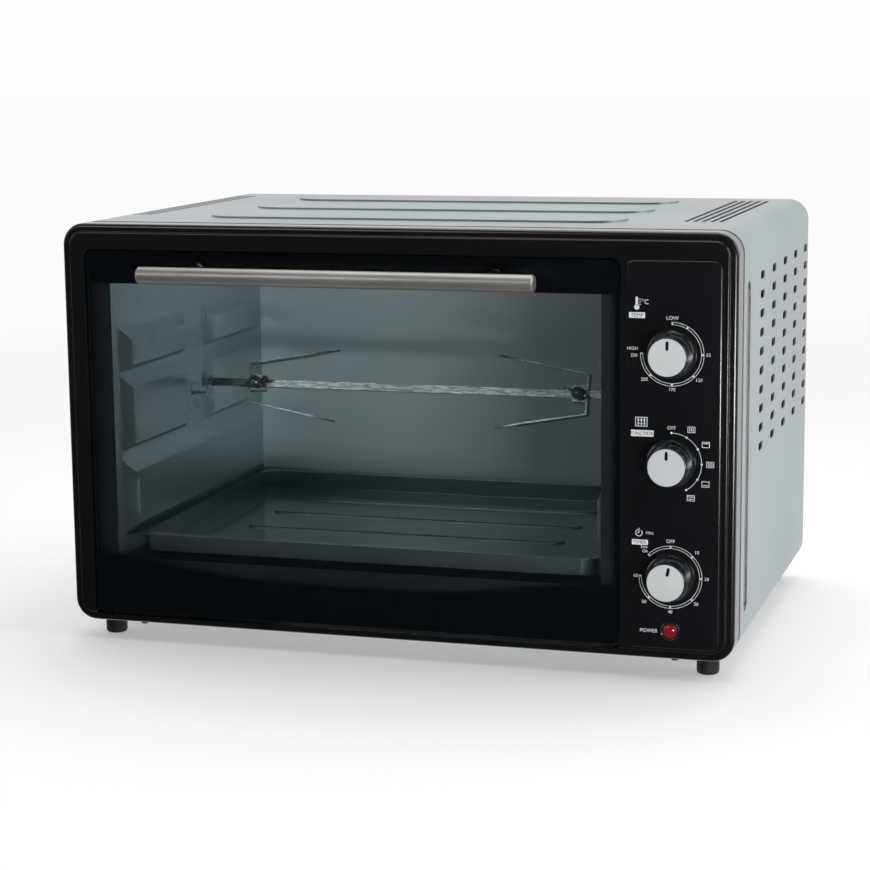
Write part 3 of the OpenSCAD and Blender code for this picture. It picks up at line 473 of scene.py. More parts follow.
def glassMaterial():
    material = bpy.data.materials.new("doorGlassClear")
    material.use_nodes = True
    tree = material.node_tree
    shader = tree.nodes["Principled BSDF"]
    place3d = put(tree, "ShaderNodeTexCoord").outputs["Object"]
    fine = useGroup(tree, "grain", {"Vector": place3d, "Scale": pane["grain"], "Stretch": (1, 1, 1)})
    rough = put(tree, "ShaderNodeMapRange", {"Value": fine.outputs["Mask"], "To Min": pane["smooth"],
                                             "To Max": pane["rough"]})
    fresnel = put(tree, "ShaderNodeFresnel", {"IOR": pane["index"]})
    alpha = put(tree, "ShaderNodeMapRange", {"Value": fresnel.outputs["Fac"], "From Min": pane["clearFrom"],
                                             "From Max": pane["mirrorFrom"], "To Min": pane["faint"],
                                             "To Max": pane["strong"]})
    tree.links.new(rough.outputs["Result"], shader.inputs["Roughness"])
    tree.links.new(alpha.outputs["Result"], shader.inputs["Alpha"])
    shader.inputs["Base Color"].default_value = fromScreen(30, 40, 44)
    shader.inputs["IOR"].default_value = pane["index"]
    return material


doorGlassClear = glassMaterial()
print("materials ready")


# camera, light, floor

view = {"x": 561.1, "y": -1693.2, "z": 474.8, "yaw": 17.112, "pitch": 9.743, "roll": -0.58, "lens": 93.85}


def addCamera():
    yaw, pitch, roll = (math.radians(view[k]) for k in ("yaw", "pitch", "roll"))
    ahead = Vector((-math.sin(yaw) * math.cos(pitch), math.cos(yaw) * math.cos(pitch), -math.sin(pitch)))
    right = Vector((math.cos(yaw), math.sin(yaw), 0))
    up = right.cross(ahead)
    tiltedRight = math.cos(roll) * right + math.sin(roll) * up
    tiltedUp = -math.sin(roll) * right + math.cos(roll) * up
    turn = Matrix((tiltedRight, tiltedUp, -ahead)).transposed().to_4x4()
    data = bpy.data.cameras.new("camera")
    data.lens = view["lens"]
    data.clip_end = 50
    camera = bpy.data.objects.new("camera", data)
    camera.matrix_world = Matrix.Translation(inCase(view["x"], view["y"], view["z"])) @ turn
    bpy.context.collection.objects.link(camera)
    bpy.context.scene.camera = camera
    bpy.context.scene.view_settings.view_transform = "Standard"


lamps = {
    "overhead": {"at": (0.1, 0.1, 2.2), "aim": (0, 0.05, 0.2), "size": (2.2, 1.6), "power": 18},
    "rightSoft": {"at": (2.2, -0.2, 1.0), "aim": (0.2, 0, 0.2), "size": (1.2, 1.6), "power": 15.5},
    "leftStrip": {"at": (-2.1, -0.9, 0.9), "aim": (-0.1, -0.2, 0.2), "size": (0.3, 1.4), "power": 3.5},
    "frontFill": {"at": (-1.2, -2.6, 1.5), "aim": (0, 0, 0.2), "size": (1.2, 0.9), "power": 10},
    "lowFlash": {"at": (0.86, -1.25, 0.05), "aim": (-0.12, 0.1, 0.17), "size": (0.45, 0.16), "power": 9},
}


def addLamps():
    for name, setting in lamps.items():
        data = bpy.data.lights.new(name, "AREA")
        data.shape = "RECTANGLE"
        data.size, data.size_y = setting["size"]
        data.energy = setting["power"]
        lamp = bpy.data.objects.new(name, data)
        lamp.location = setting["at"]
        aim = Vector(setting["aim"]) - Vector(setting["at"])
        lamp.rotation_euler = aim.to_track_quat("-Z", "Y").to_euler()
        bpy.context.collection.objects.link(lamp)


def addWorld():
    world = bpy.data.worlds.new("studio")
    world.use_nodes = True
    bpy.context.scene.world = world
    tree = world.node_tree
    direction = put(tree, "ShaderNodeTexCoord").outputs["Generated"]
    split = put(tree, "ShaderNodeSeparateXYZ", {"Vector": direction})
    behind = put(tree, "ShaderNodeMapRange", {"Value": split.outputs["Y"], "From Min": -0.25, "From Max": 0.35,
                                              "To Min": 0.035, "To Max": 1.0})
    seen = put(tree, "ShaderNodeLightPath").outputs["Is Camera Ray"]
    strength = put(tree, "ShaderNodeMix", {0: seen, 2: behind.outputs["Result"], 3: 1.0}, data_type="FLOAT")
    tree.links.new(strength.outputs[0], tree.nodes["Background"].inputs["Strength"])
    tree.nodes["Background"].inputs["Color"].default_value = (0.98, 0.99, 1.0, 1)


studio = {"floor": 40.0, "drop": 0.0003, "glowNear": 0.3, "glowFar": 0.97, "fadeFrom": 0.6, "fadeTo": 2.4}


def addFloor():
    bpy.ops.mesh.primitive_plane_add(size=studio["floor"], location=(0, 0, cadBox[0][2] - studio["drop"]))
    floor = bpy.context.object
    floor.name = "studioFloor"
    settle(floor)
    paper = finish("paleFloor", fromScreen(236, 236, 237), fromScreen(240, 240, 241),
                   (0.7, 0.8), 0.0, 1.5, 300.0, bump=0.02)
    tree = paper.node_tree
    shader = tree.nodes["Principled BSDF"]
    place3d = put(tree, "ShaderNodeTexCoord").outputs["Object"]
    away = put(tree, "ShaderNodeVectorMath", {0: place3d}, operation="LENGTH")
    fade = put(tree, "ShaderNodeMapRange", {"Value": away.outputs["Value"], "From Min": studio["fadeFrom"],
                                            "From Max": studio["fadeTo"]}, interpolation_type="SMOOTHSTEP")
    glow = put(tree, "ShaderNodeMapRange", {"Value": fade.outputs["Result"], "To Min": studio["glowNear"],
                                            "To Max": studio["glowFar"]})
    shade = put(tree, "ShaderNodeMix", {0: fade.outputs["Result"], 6: fromScreen(232, 232, 233),
                                        7: (0, 0, 0, 1)}, data_type="RGBA")
    tree.links.new(shade.outputs[2], shader.inputs["Base Color"])
    tree.links.new(glow.outputs["Result"], shader.inputs["Emission Strength"])
    shader.inputs["Emission Color"].default_value = (1, 1, 1, 1)
    shader.inputs["Specular IOR Level"].default_value = 0.0
    floor.data.materials.append(paper)
    floor.visible_glossy = False


addCamera()
addLamps()
addWorld()
addFloor()
print("camera, light and floor ready")


# finishes of the CAD pieces, with or without a copy that stands in for them

def coverNodes(material, names):
    for name in names:
        node = nodes[name]
        node.data.materials.clear()
        node.data.materials.append(material)


coverNodes(silver, ["outer_shell"])
coverNodes(blackFront, ["front_bezel"])
coverNodes(blackPanel, ["control_panel"])
coverNodes(plainZinc, ["base_pan", "back_panel", "spit_motor", "timer", "drive_socket"])
coverNodes(frameSteelPaintedShade, ["front_frame"])
coverNodes(galvanised, ["cavity_left_wall", "cavity_right_wall", "cavity_roof", "cavity_floor",
                        "cavity_back_wall"])
coverNodes(rubber, ["front_feet", "rear_feet"])
coverNodes(chrome, ["foot_screws", "base_screws", "back_screws", "spit_support", "timer_bell",
                    "left_hinge_bracket", "right_hinge_bracket", "door_hinge_pins", "door_springs",
                    "handle_screws", "spit_rod", "left_fork", "right_fork", "left_fork_screw",
                    "right_fork_screw", "temperature_shaft", "function_shaft", "timer_shaft"])
coverNodes(darkHeater, ["upper_front_heater", "upper_rear_heater", "lower_front_heater",
                        "lower_rear_heater"])
coverNodes(ceramic, ["heater_insulators", "thermostat", "terminal_block"])
coverNodes(darkPlastic, ["function_switch", "power_lamp_body", "cord_gland"])
coverNodes(wireSleeve, ["wiring"])
coverNodes(brushedBar, ["door_top_rail", "door_bottom_rail", "handle_bar", "handle_end_caps"])
coverNodes(glossBlack, ["handle_posts"])
coverNodes(trayEnamel, ["baking_tray"])
coverNodes(redLens, ["power_lamp_lens"])
coverNodes(doorGlassClear, ["door_glass"])
coverNodes(knobBlack, ["temperature_knob", "function_knob", "timer_knob"])
coverNodes(spunCap, ["temperature_cap", "function_cap", "timer_cap"])


# rounded copies of pressed and machined pieces

rounded = {
    "cavity_left_wall": ("leftWallPressing", 3.2, 4, "case", "sheet", galvanised),
    "cavity_right_wall": ("rightWallPressing", 3.2, 4, "case", "sheet", galvanised),
    "cavity_back_wall": ("backWallPressing", 3.0, 4, "case", "sheet", paintedLightBackSheet),
    "cavity_floor": ("cavityFloorSheet", 0.4, 2, "case", "sheet", galvanised),
    "front_feet": ("frontFeet", 1.0, 3, "case", "rubber", rubber),
    "rear_feet": ("rearFeet", 1.0, 3, "case", "rubber", rubber),
    "spit_support": ("spitHook", 0.35, 2, "case", "spit", spitSteel),
    "handle_end_caps": ("barEndCaps", 0.8, 3, "door", "handle", brushedBar),
    "door_glass": ("doorGlass", 0.6, 3, "door", "glass", doorGlassClear),
    "baking_tray": ("bakingTray", 0.45, 2, "tray", "tray", trayEnamel),
    "spit_rod": ("spitRod", 0.5, 2, "spit", "spit", spitSteel),
    "left_fork": ("leftFork", 0.35, 2, "left_fork_body", "spit", spitSteel),
    "right_fork": ("rightFork", 0.35, 2, "right_fork_body", "spit", spitSteel),
    "left_fork_screw": ("leftForkScrew", 0.5, 2, "left_fork_thumbscrew", "spit", spitSteel),
    "right_fork_screw": ("rightForkScrew", 0.5, 2, "right_fork_thumbscrew", "spit", spitSteel),
    "drive_socket": ("driveSocket", 0.6, 2, "socket", "motor", plainZinc),
    "temperature_cap": ("temperatureCap", 0.3, 2, "temperature_dial", "cap", spunCap),
    "function_cap": ("functionCap", 0.3, 2, "function_dial", "cap", spunCap),
    "timer_cap": ("timerCap", 0.3, 2, "timer_dial", "cap", spunCap),
}
for node, (name, width, segments, body, slot, material) in rounded.items():
    place(softCopy(node, name, width, segments), body, material, [node])
print("rounded copies ready")


# front bezel

bezel = {"corner": 18.0, "edge": 3.0, "rim": 7.3, "rise": 1.5, "side": 21.5, "depth": 28.0, "lipInset": 1.5,
         "lipOverlap": 0.5, "wall": 2.5, "face": 3.2, "opening": 1.5, "openingFoot": 3.0, "openingHead": 8.0,
         "loop": 0.4, "rampRun": 2.0, "dialHole": 6.0, "lampHole": 7.3, "soft": 0.9, "lipSoft": 0.4,
         "ramp": [(0.25, 0.08), (0.25, 0.42), (0.35, 0.62), (0.35, 0.3), (0.4, 0.08), (0.4, 0)]}


def frontBezel():
    r = bezel["corner"] * mm
    x0, z0 = bezelLow[0], bezelLow[2]
    x1, z1 = bezelHigh[0], bezelHigh[2]
    body = blank("frontBezelSkin", x0, x1, z0, z1, frontY + bezel["side"] * mm, (r, r, r, r), 12)
    edge = bezel["edge"]
    pull(body, (bezel["side"] - bezel["rise"] - edge) * mm)
    stepIn(body, [(a * mm, f * mm) for a, f in arcSteps(edge)])
    loop = bezel["loop"] * mm
    stepIn(body, [(loop, 0), ((bezel["rim"] - edge - bezel["rampRun"]) * mm, 0), (loop, 0)])
    stepIn(body, [(a * mm, f * mm) for a, f in bezel["ramp"]])
    closeBack(body)
    lip = bezel["lipInset"] * mm
    back = blank("bezelLip", x0 + lip, x1 - lip, z0 + lip, z1 - lip, bezelHigh[1] - 0.0001,
                 (r - lip,) * 4, 12)
    pull(back, (bezel["depth"] - bezel["side"] + bezel["lipOverlap"]) * mm)
    closeBack(back)
    w = bezel["wall"] * mm
    for part in (body, back):
        hollow = blank("bezelHollow", x0 + w, x1 - w, z0 + w, z1 - w, bezelHigh[1] + 0.002, (r - w,) * 4, 12)
        pull(hollow, 0.030 - bezel["face"] * mm)
        closeBack(hollow)
        cutAway(part, hollow)
    gap = bezel["opening"] * mm
    foot, head = bezel["openingFoot"] * mm, bezel["openingHead"] * mm
    opening = blank("doorOpening", glassLow[0] - gap, glassHigh[0] + gap, glassLow[2] - 0.002,
                    glassHigh[2] + gap, frontY + 0.01, (foot, foot, head, head), 6)
    pull(opening, 0.02)
    closeBack(opening)
    cutAway(body, opening)
    for z in dialZ.values():
        cutAway(body, rod("dialHole", dialX, z, frontY - 0.01, frontY + 0.01, bezel["dialHole"] * mm))
    cutAway(body, rod("lampHole", dialX, middle("power_lamp_lens")[2], frontY - 0.01, frontY + 0.01,
                      bezel["lampHole"] * mm))
    roundEdges(body, bezel["soft"], 3, 50)
    roundEdges(back, bezel["lipSoft"], 2, 50)
    place(body, "case", blackFront, ["front_bezel"])
    place(back, "case", blackFront, ["front_bezel"])


frontBezel()
print("front bezel ready")


# control panel plate

plate = {"corner": 8.0, "edge": 1.8, "tight": 3.6, "dialHole": 5.0, "lampHole": 7.2}


def panelPlate():
    r = plate["corner"] * mm
    low, high = panelLow, panelHigh
    edge = plate["edge"] * mm
    thick = high[1] - low[1]
    piece = blank("panelPlate", low[0], high[0], low[2], high[2], high[1], (r, r, r, plate["tight"] * mm), 10)
    stepIn(piece, arcSteps(edge, 6, thick / edge))
    closeBack(piece)
    for z in dialZ.values():
        cutAway(piece, rod("dialHole", dialX, z, frontY - 0.01, frontY + 0.01, plate["dialHole"] * mm))
    lampZ = middle("power_lamp_lens")[2]
    cutAway(piece, rod("lampHole", dialX, lampZ, frontY - 0.01, frontY + 0.01, plate["lampHole"] * mm))
    smooth(piece, 30)
    place(piece, "case", blackPanel, ["control_panel"])


panelPlate()
print("control panel ready")


# knobs

knob = {"skirt": 19.2, "skirtTop": 18.9, "waist": 17.6, "top": 15.3, "capSeat": 14.55, "seatDepth": 0.8}


def knobBody(name):
    low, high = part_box(name + "_knob")
    back, front = (high[1] - frontY) / mm, (low[1] - frontY) / mm
    k = knob
    profile = [(3.1, back), (k["skirt"] - 0.4, back), (k["skirt"], back - 0.4), (k["skirt"], back - 1.9),
               (k["skirtTop"], back - 2.6), (k["waist"] + 0.5, back - 3.1), (k["waist"], back - 3.6),
               (k["waist"] - 0.35, back - 6), (k["waist"] - 0.9, back - 11), (k["top"] + 0.5, front + 1.6),
               (k["top"] + 0.2, front + 0.7), (k["top"] - 0.1, front + 0.15), (k["top"] - 0.35, front),
               (k["capSeat"], front), (k["capSeat"], front + k["seatDepth"]), (0, front + k["seatDepth"])]
    piece = lathe(name + "KnobBody", profile, dialX, frontY, dialZ[name])
    smooth(piece, 32)
    place(piece, name + "_dial", knobBlack, [name + "_knob"])


hand = {"half": 1.2, "inner": 9.05, "outer": 2.15, "corner": 1.15, "thick": 0.55, "soft": 0.12}
restTurn = {"temperature": 0, "function": 0, "timer": 12}


def pointer(name, turn):
    low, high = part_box(name + "_cap")
    radius = (high[0] - low[0]) / 2
    half = hand["half"] * mm
    inset = blank(name + "Pointer", -half, half, radius - hand["inner"] * mm, radius - hand["outer"] * mm,
                  0, (hand["corner"] * mm,) * 4, 6)
    pull(inset, hand["thick"] * mm)
    closeBack(inset)
    inset.rotation_euler = (0, math.radians(turn), 0)
    inset.location = (dialX, high[1], dialZ[name])
    settle(inset)
    roundEdges(inset, hand["soft"], 2)
    place(inset, name + "_dial", knobBlack)


for dial, turn in restTurn.items():
    knobBody(dial)
    pointer(dial, turn)
print("knobs ready")


# printed scales and words

ink = {"thick": 0.05, "line": 0.36, "y": panelLow[1]}


def flat(name, x0, x1, z0, z1, radius=0.0):
    piece = blank(name, x0 * mm, x1 * mm, floorZ + z0 * mm, floorZ + z1 * mm,
                  ink["y"] + 0.02 * mm, (radius * mm,) * 4, 4)
    pull(piece, (ink["thick"] + 0.02) * mm)
    closeBack(piece)
    return piece


def arcLine(name, z, radius, startTurn, sweep, width):
    bpy.ops.mesh.primitive_plane_add(size=1, location=(0, 0, radius * mm), rotation=(0, math.pi / 2, 0))
    piece = bpy.context.object
    piece.name = name
    piece.scale = (width * mm, (ink["thick"] + 0.02) * mm, 1)
    settle(piece)
    editMode(piece)
    bpy.ops.mesh.select_all(action="SELECT")
    bpy.ops.mesh.spin(steps=max(6, int(abs(sweep) / 4)), angle=-math.radians(sweep), center=(0, 0, 0),
                      axis=(0, 1, 0))
    bpy.ops.mesh.select_all(action="SELECT")
    bpy.ops.mesh.normals_make_consistent(inside=False)
    objectMode()
    piece.rotation_euler = (0, math.radians(startTurn), 0)
    piece.location = (dialX, ink["y"] - 0.015 * mm, floorZ + z * mm)
    settle(piece)
    return piece


def word(text, x, z, size, spread=1.0):
    bpy.ops.object.text_add(location=(0, 0, 0))
    piece = bpy.context.object
    piece.data.body = text
    piece.data.size = size * mm
    piece.data.align_x = "CENTER"
    piece.data.align_y = "CENTER"
    piece.data.space_character = spread
    piece.data.extrude = ink["thick"] * mm / 2
    piece.data.resolution_u = 3
    bpy.ops.object.convert(target="MESH")
    piece = bpy.context.object
    piece.rotation_euler = (math.pi / 2, 0, 0)
    piece.location = (x * mm, ink["y"] - ink["thick"] * mm / 2, floorZ + z * mm)
    settle(piece)
    return piece


def dialPoint(z, radius, turn):
    a = math.radians(turn)
    return dialX / mm + radius * math.sin(a), z + radius * math.cos(a)


def dot(z, radius, turn, size):
    x, up = dialPoint(z, radius, turn)
    return rod("scaleDot", x * mm, floorZ + up * mm, ink["y"] - ink["thick"] * mm, ink["y"] + 0.02 * mm,
               size * mm, 14)


def outline(x, z, w, h, line):
    return [flat("iconLine", x - w / 2, x + w / 2, z + h / 2 - line, z + h / 2),
            flat("iconLine", x - w / 2, x + w / 2, z - h / 2, z - h / 2 + line),
            flat("iconLine", x - w / 2, x - w / 2 + line, z - h / 2 + line, z + h / 2 - line),
            flat("iconLine", x + w / 2 - line, x + w / 2, z - h / 2 + line, z + h / 2 - line)]


def temperatureScale():
    z = (dialZ["temperature"] - floorZ) / mm
    line = ink["line"]
    marks = [arcLine("temperatureArc", z, r, 0, 270, line) for r in (22.7, 24.6)]
    marks += [arcLine("arcEnd", z, 23.65, turn, 3, 2.2) for turn in (-1.5, 268.5)]
    marks += [dot(z, 23.65, turn, 0.85) for turn in (30, 90, 135, 180, 225)]
    for text, turn, size, reach in (("LOW", 0, 4.1, 27.6), ("65", 90, 3.7, 28), ("120", 133, 3.7, 28.6),
                                    ("170", 180, 3.7, 27.4), ("200", 227, 3.7, 29.4)):
        x, up = dialPoint(z, reach, turn)
        marks.append(word(text, x, up, size))
    marks.append(word("HIGH", 199.2, z + 3.6, 3.6))
    marks.append(word("250", 200.4, z - 1.6, 3.6))
    stem = 202.4
    marks += [flat("thermometerStem", stem - 1.0, stem + 1.0, 277.5, 284.6, 0.9),
              rod("thermometerBulb", stem * mm, floorZ + 276.6 * mm, ink["y"] - ink["thick"] * mm,
                  ink["y"] + 0.02 * mm, 2.0 * mm, 24)]
    marks += [flat("thermometerTick", stem + 1.8, stem + 3.2, 278.4 + k * 2, 278.9 + k * 2) for k in range(3)]
    marks.append(word("°C", 208.9, 280.6, 5.2))
    return marks


def functionScale():
    z = (dialZ["function"] - floorZ) / mm
    marks = [arcLine("functionArc", z, 23.6, turn + 3, 24, 0.4) for turn in (0, 30, 60, 90, 120)]
    marks += [dot(z, 23.6, turn, 0.9) for turn in (0, 30, 60, 90, 120, 150)]
    marks.append(word("OFF", dialX / mm, z + 27.4, 3.9))
    for turn, top, bottom, full in ((30, 0, 0, 1), (60, 1, 0, 0), (90, 1, 1, 1), (120, 0, 1, 0), (150, 1, 1, 0)):
        x, up = dialPoint(z, 30.2 if turn == 90 else 30.8, turn)
        marks += outline(x, up, 6.0, 4.6, 0.45)
        if top:
            marks.append(flat("iconBar", x - 1.9, x + 1.9, up + 0.6, up + 1.15))
        if bottom:
            marks.append(flat("iconBar", x - 1.9, x + 1.9, up - 1.15, up - 0.6))
        if full:
            marks += [flat("iconBar", x - 0.25 + k, x + 0.25 + k, up - 1.3, up + 1.3) for k in (-1.4, 0, 1.4)]
    marks += outline(206.4, 188.0, 9.6, 7.4, 0.55)
    marks += [flat("gridBar", 206.4 + k - 0.35, 206.4 + k + 0.35, 185.2, 190.8) for k in (-2.4, 0, 2.4)]
    marks += [flat("gridShelf", 203.0, 209.8, 187.7 + k, 188.2 + k) for k in (-1.4, 1.4)]
    return marks


def timerScale():
    z = (dialZ["timer"] - floorZ) / mm
    line = ink["line"]
    marks = [arcLine("timerArc", z, r, -45, 315, line) for r in (22.9, 24.8)]
    marks += [arcLine("arcEnd", z, 23.85, turn, 3, 2.2) for turn in (-46.5, 268.5)]
    marks += [dot(z, 23.85, turn, 0.8) for turn in (0, 45, 90, 135, 180, 225)]
    for text, turn, reach in (("10", 45, 29.0), ("20", 90, 28.4), ("30", 135, 28.6), ("40", 180, 27.6),
                              ("50", 225, 29.2), ("60", 270, 27.4)):
        x, up = dialPoint(z, reach, turn)
        marks.append(word(text, x, up, 3.7))
    marks.append(word("OFF", dialX / mm, z + 28.4, 4.0))
    marks.append(word("Stay", 209.2, z + 23.2, 3.4))
    marks.append(word("On", 209.8, z + 19.8, 3.4))
    marks += [arcClock(205.0, 100.6, 2.6, 40, 300), flat("clockHand", 204.75, 205.25, 100.6, 104.4),
              flat("clockHand", 203.4, 205.2, 100.4, 100.9)]
    marks.append(word("MIN", 213.4, 100.6, 3.4))
    return marks


def arcClock(x, z, radius, startTurn, sweep):
    ring = arcLine("clockRing", z, radius, startTurn, sweep, 0.55)
    ring.location = (x * mm - dialX, 0, 0)
    settle(ring)
    return ring


def tag(text, x, z, w, h, size):
    label = flat("tagPlate", x - w / 2, x + w / 2, z - h / 2, z + h / 2, 0.6)
    letters = word(text, x, z - 0.15, size)
    letters.location = (0, -ink["thick"] * mm * 0.6, 0)
    settle(letters)
    place(letters, "case", blackPanel)
    letters.name = "tagWord" + text.title()
    return label


def printScales():
    marks = temperatureScale() + functionScale() + timerScale()
    marks += [tag("TEMP", 202.6, 270.4, 12.6, 4.4, 4.2), tag("FUNCTION", 207.2, 179.0, 18.0, 5.0, 3.7),
              tag("TIMER", 205.8, 93.2, 12.6, 4.2, 3.7)]
    marks.append(word("POWER", 213.2, 22.9, 4.1))
    piece = joinAll(marks)
    piece.name = "printedScales"
    place(piece, "case", printWhite)


printScales()
print("printed scales ready")


# door print, posts, lamp ring

window = {"left": -257.0, "right": 184.0, "top": 285.0,
          "low": [(-257, 55.8), (-225, 55.8), (-205, 52.5), (-183, 47.6), (-157, 44.0), (-112, 40.4), (-35, 38.9),
                  (49, 39.7), (107, 46.7), (142, 51.8), (155, 54.0), (184, 54.0)]}


def windowSill(x):
    points = window["low"]
    if x <= points[0][0]:
        return points[0][1]
    for (xa, za), (xb, zb) in zip(points, points[1:]):
        if xa <= x <= xb:
            t = (x - xa) / (xb - xa)
            return za + (zb - za) * t
    return points[-1][1]


def cornerLift(x, x0, x1, radius):
    near = min(x - x0, x1 - x)
    return 0.0 if near >= radius else radius - math.sqrt(max(0.0, radius ** 2 - (radius - near) ** 2))


def printStrip(name, x0, x1, low, high, columns):
    bpy.ops.mesh.primitive_grid_add(x_subdivisions=columns, y_subdivisions=1, size=1,
                                    location=((x0 + x1) / 2 * mm, glassHigh[1] - 0.05 * mm, 0),
                                    rotation=(math.pi / 2, 0, 0))
    strip = bpy.context.object
    strip.name = name
    strip.scale = ((x1 - x0) * mm, 1, 1)
    settle(strip)
    for vertex in strip.data.vertices:
        edge = low if vertex.co.z < 0 else high
        vertex.co.z = floorZ + edge(vertex.co.x / mm) * mm
    editMode(strip)
    bpy.ops.mesh.select_all(action="SELECT")
    objectMode()
    pull(strip, 0.12 * mm)
    closeBack(strip)
    return strip


def doorPrint():
    x0, x1 = glassLow[0] / mm + 1, glassHigh[0] / mm - 1
    base, crown = (glassLow[2] - floorZ) / mm + 1, (glassHigh[2] - floorZ) / mm - 1
    left, right, top, radius = window["left"], window["right"], window["top"], 5.5
    foot = lambda x: base + cornerLift(x, x0, x1, radius)
    head = lambda x: crown - cornerLift(x, x0, x1, radius)
    strips = [printStrip("doorPrint", x0, x1, foot, windowSill, 180),
              printStrip("printHead", x0, x1, lambda x: top, head, 180),
              printStrip("printLeft", x0, left, windowSill, lambda x: top, 2),
              printStrip("printRight", right, x1, windowSill, lambda x: top, 3)]
    place(joinAll(strips), "door", printBlack)


post = {"foot": 9.0, "flange": 9.4, "stem": 5.8, "neck": 5.5, "barGap": 5.6, "fromEnd": 9.5}


def handlePosts():
    low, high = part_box("handle_posts")
    barLow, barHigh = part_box("handle_bar")
    z = (barLow[2] + barHigh[2]) / 2
    reach = (high[1] - (barLow[1] + barHigh[1]) / 2) / mm
    foot, flange, stem, tip = post["foot"], post["flange"], post["stem"], -reach + post["barGap"]
    profile = [(0, 0), (foot, 0), (flange, -0.4), (flange, -2.0), (foot, -3.2), (7.8, -4.6), (6.7, -7.0),
               (6.1, -10.5), (stem, -15), (stem, -reach + 6.6), (post["neck"], tip), (0, tip)]
    pieces = []
    for x in (low[0] + post["fromEnd"] * mm, high[0] - post["fromEnd"] * mm):
        pieces.append(lathe("handlePost", profile, x, high[1], z, 48))
    posts = joinAll(pieces)
    posts.name = "handlePosts"
    smooth(posts, 40)
    place(posts, "door", glossBlack, ["handle_posts"])


lampTop = {"dome": 6.0, "collar": 7.9, "proud": 1.5}


def powerLamp():
    low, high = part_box("power_lamp_lens")
    lampZ, rise = middle("power_lamp_lens")[2], (panelLow[1] - low[1]) / mm
    dome, collar, proud = lampTop["dome"], lampTop["collar"], lampTop["proud"]
    profile = [(0, -rise), (1.6, 0.12 - rise), (3.2, 0.5 - rise), (4.6, 1.15 - rise), (5.5, 1.95 - rise),
               (dome, 2.9 - rise), (dome, 2), (0, 2)]
    lens = lathe("redLampLens", profile, dialX, panelLow[1], lampZ, 48)
    smooth(lens, 40)
    place(lens, "case", redLens, ["power_lamp_lens"])
    profile = [(dome + 0.05, 1), (dome + 0.05, -proud * 0.55), (dome + 0.4, -proud * 0.85),
               (dome + 0.9, -proud), (collar - 0.5, -proud * 0.8), (collar - 0.1, -proud * 0.4), (collar, 0),
               (collar - 1, 0), (collar - 1, 1), (dome + 0.05, 1)]
    ring = lathe("lampCollar", profile, dialX, panelLow[1], lampZ, 48)
    smooth(ring, 40)
    place(ring, "case", knobBlack)


doorPrint()
handlePosts()
powerLamp()
print("door print, posts and lamp ring ready")


# side grooves and vents

side = {"grooveY": (42, 59), "grooveZ": (30.5, 293), "grooveBack": 3.4, "grooveFront": 0.7,
        "ventFirst": 118.0, "ventPitch": 61.5, "ventColumns": 5, "ventTop": 288.0, "ventStep": 15.5, "ventRows": 10,
        "ventLength": 20.0, "ventHeight": 6.6, "skin": 1.2,
        "scoopRun": 11.0, "scoopDepth": 4.6, "scoopExtra": 0.8, "clear": 0.2, "insertEdge": 1.0}


def onSide(piece, right):
    piece.rotation_euler = (0, 0, math.pi / 2 if right else -math.pi / 2)
    piece.location = (shellHigh[0] if right else shellLow[0], 0, 0)
    settle(piece)
    return piece


# a black insert lining one side groove: its black is partly the groove's dark paint, partly painted shade for the
# depth of the channel
def groovePaintAndShadeInsert(right):
    (y0, y1), (z0, z1) = side["grooveY"], side["grooveZ"]
    clear = side["clear"]
    y0, y1 = frontY + (y0 + clear) * mm, frontY + (y1 - clear) * mm
    radius = (y1 - y0) / 2 * 0.98
    ends = (y0, y1) if right else (-y1, -y0)
    piece = blank("groovePaintAndShadeInsert", *ends, floorZ + (z0 + clear) * mm, floorZ + (z1 - clear) * mm,
                  side["grooveBack"] * mm, (radius,) * 4, 10)
    pull(piece, (side["grooveBack"] - side["grooveFront"] - side["insertEdge"]) * mm)
    stepIn(piece, [(a * mm, f * mm) for a, f in arcSteps(side["insertEdge"], 4)])
    stepIn(piece, [(3 * mm, -0.5 * mm)])
    closeBack(piece)
    smooth(piece, 40)
    return onSide(piece, right)


def ventScoop():
    length, height = side["scoopRun"] * mm, (side["ventHeight"] + side["scoopExtra"]) * mm
    piece = block("ventScoop", 0, 0, -height / 2, length, 0.5 * mm, height / 2)
    editMode(piece)
    bpy.ops.mesh.subdivide(number_cuts=3)
    objectMode()
    for vertex in piece.data.vertices:
        t = vertex.co.x / length
        vertex.co.y += side["scoopDepth"] * mm * t * t * (1.6 - 0.6 * t)
    smooth(piece, 50)
    return piece


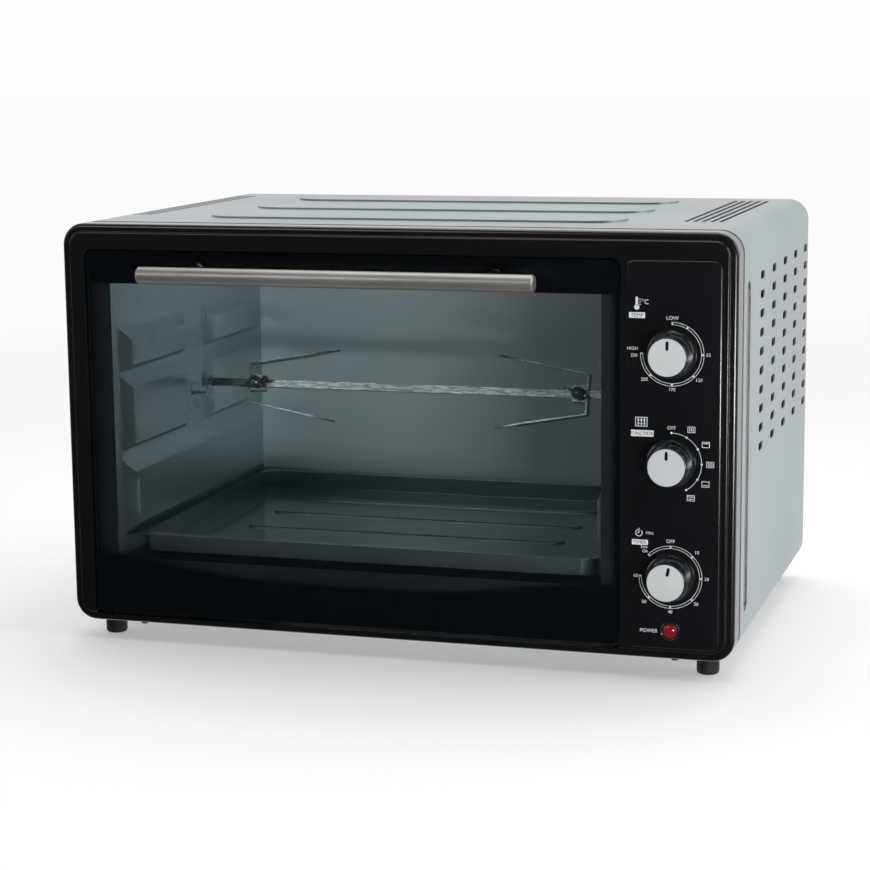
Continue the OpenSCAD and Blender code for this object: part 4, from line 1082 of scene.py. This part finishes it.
def sideTrim():
    # the black groove inserts carry painted shade for the deep channels as well as their dark paint
    paintAndShadeInserts = [groovePaintAndShadeInsert(True), groovePaintAndShadeInsert(False)]
    place(joinAll(paintAndShadeInserts), "case", blackFront).name = "groovePaintAndShadeInserts"
    first = ventScoop()
    scoops = []
    for right in (True, False):
        for column in range(side["ventColumns"]):
            for row in range(side["ventRows"]):
                y = frontY + (side["ventFirst"] + column * side["ventPitch"] - side["ventLength"] / 2) * mm
                z = floorZ + (side["ventTop"] - row * side["ventStep"] + side["ventHeight"] / 2) * mm
                scoop = copyOf(first, (0, 0, 0))
                if not right:
                    scoop.scale = (-1, 1, 1)
                    settle(scoop)
                scoop.location = (y if right else -y, side["skin"] * mm, z)
                settle(scoop)
                scoops.append(onSide(scoop, right))
    bpy.data.objects.remove(first, do_unlink=True)
    louvres = joinAll(scoops)
    louvres.name = "ventScoops"
    editMode(louvres)
    bpy.ops.mesh.select_all(action="SELECT")
    bpy.ops.mesh.normals_make_consistent(inside=False)
    objectMode()
    place(louvres, "case", silver)


sideTrim()
print("side trim ready")


# screw heads

screw = {"head": 3.5, "shank": 1.5, "length": 10.0, "crossLong": 2.2, "crossWide": 0.35, "crossDeep": 0.9,
         "crossUp": 0.2}


def screwHeads():
    low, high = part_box("back_screws")
    head, width = screw["head"], bezelHigh[0] - bezelLow[0]
    rows = [low[2] + head * mm, high[2] - head * mm]
    xs = [low[0] + head * mm, -width / 6, width / 6, high[0] - head * mm]
    y = high[1]
    shank = screw["shank"]
    first = lathe("backScrews", [(shank, -screw["length"]), (shank, -2), (head, -2), (head, -1.2), (3.2, -0.6),
                                 (2.4, -0.15), (0, 0)], 0, 0, 0, 28)
    long, wide = screw["crossLong"] * mm, screw["crossWide"] * mm
    deep, up = -screw["crossDeep"] * mm, screw["crossUp"] * mm
    cross = [block("crossCut", -long, deep, -wide, long, up, wide),
             block("crossCut", -wide, deep, -long, wide, up, long)]
    for cutter in cross:
        cutAway(first, cutter)
    smooth(first, 35)
    copies = [copyOf(first, (x, y, z)) for x in xs for z in rows]
    bpy.data.objects.remove(first, do_unlink=True)
    heads = joinAll(copies)
    heads.name = "backScrewHeads"
    place(heads, "case", chrome, ["back_screws"])


screwHeads()
print("screw heads ready")
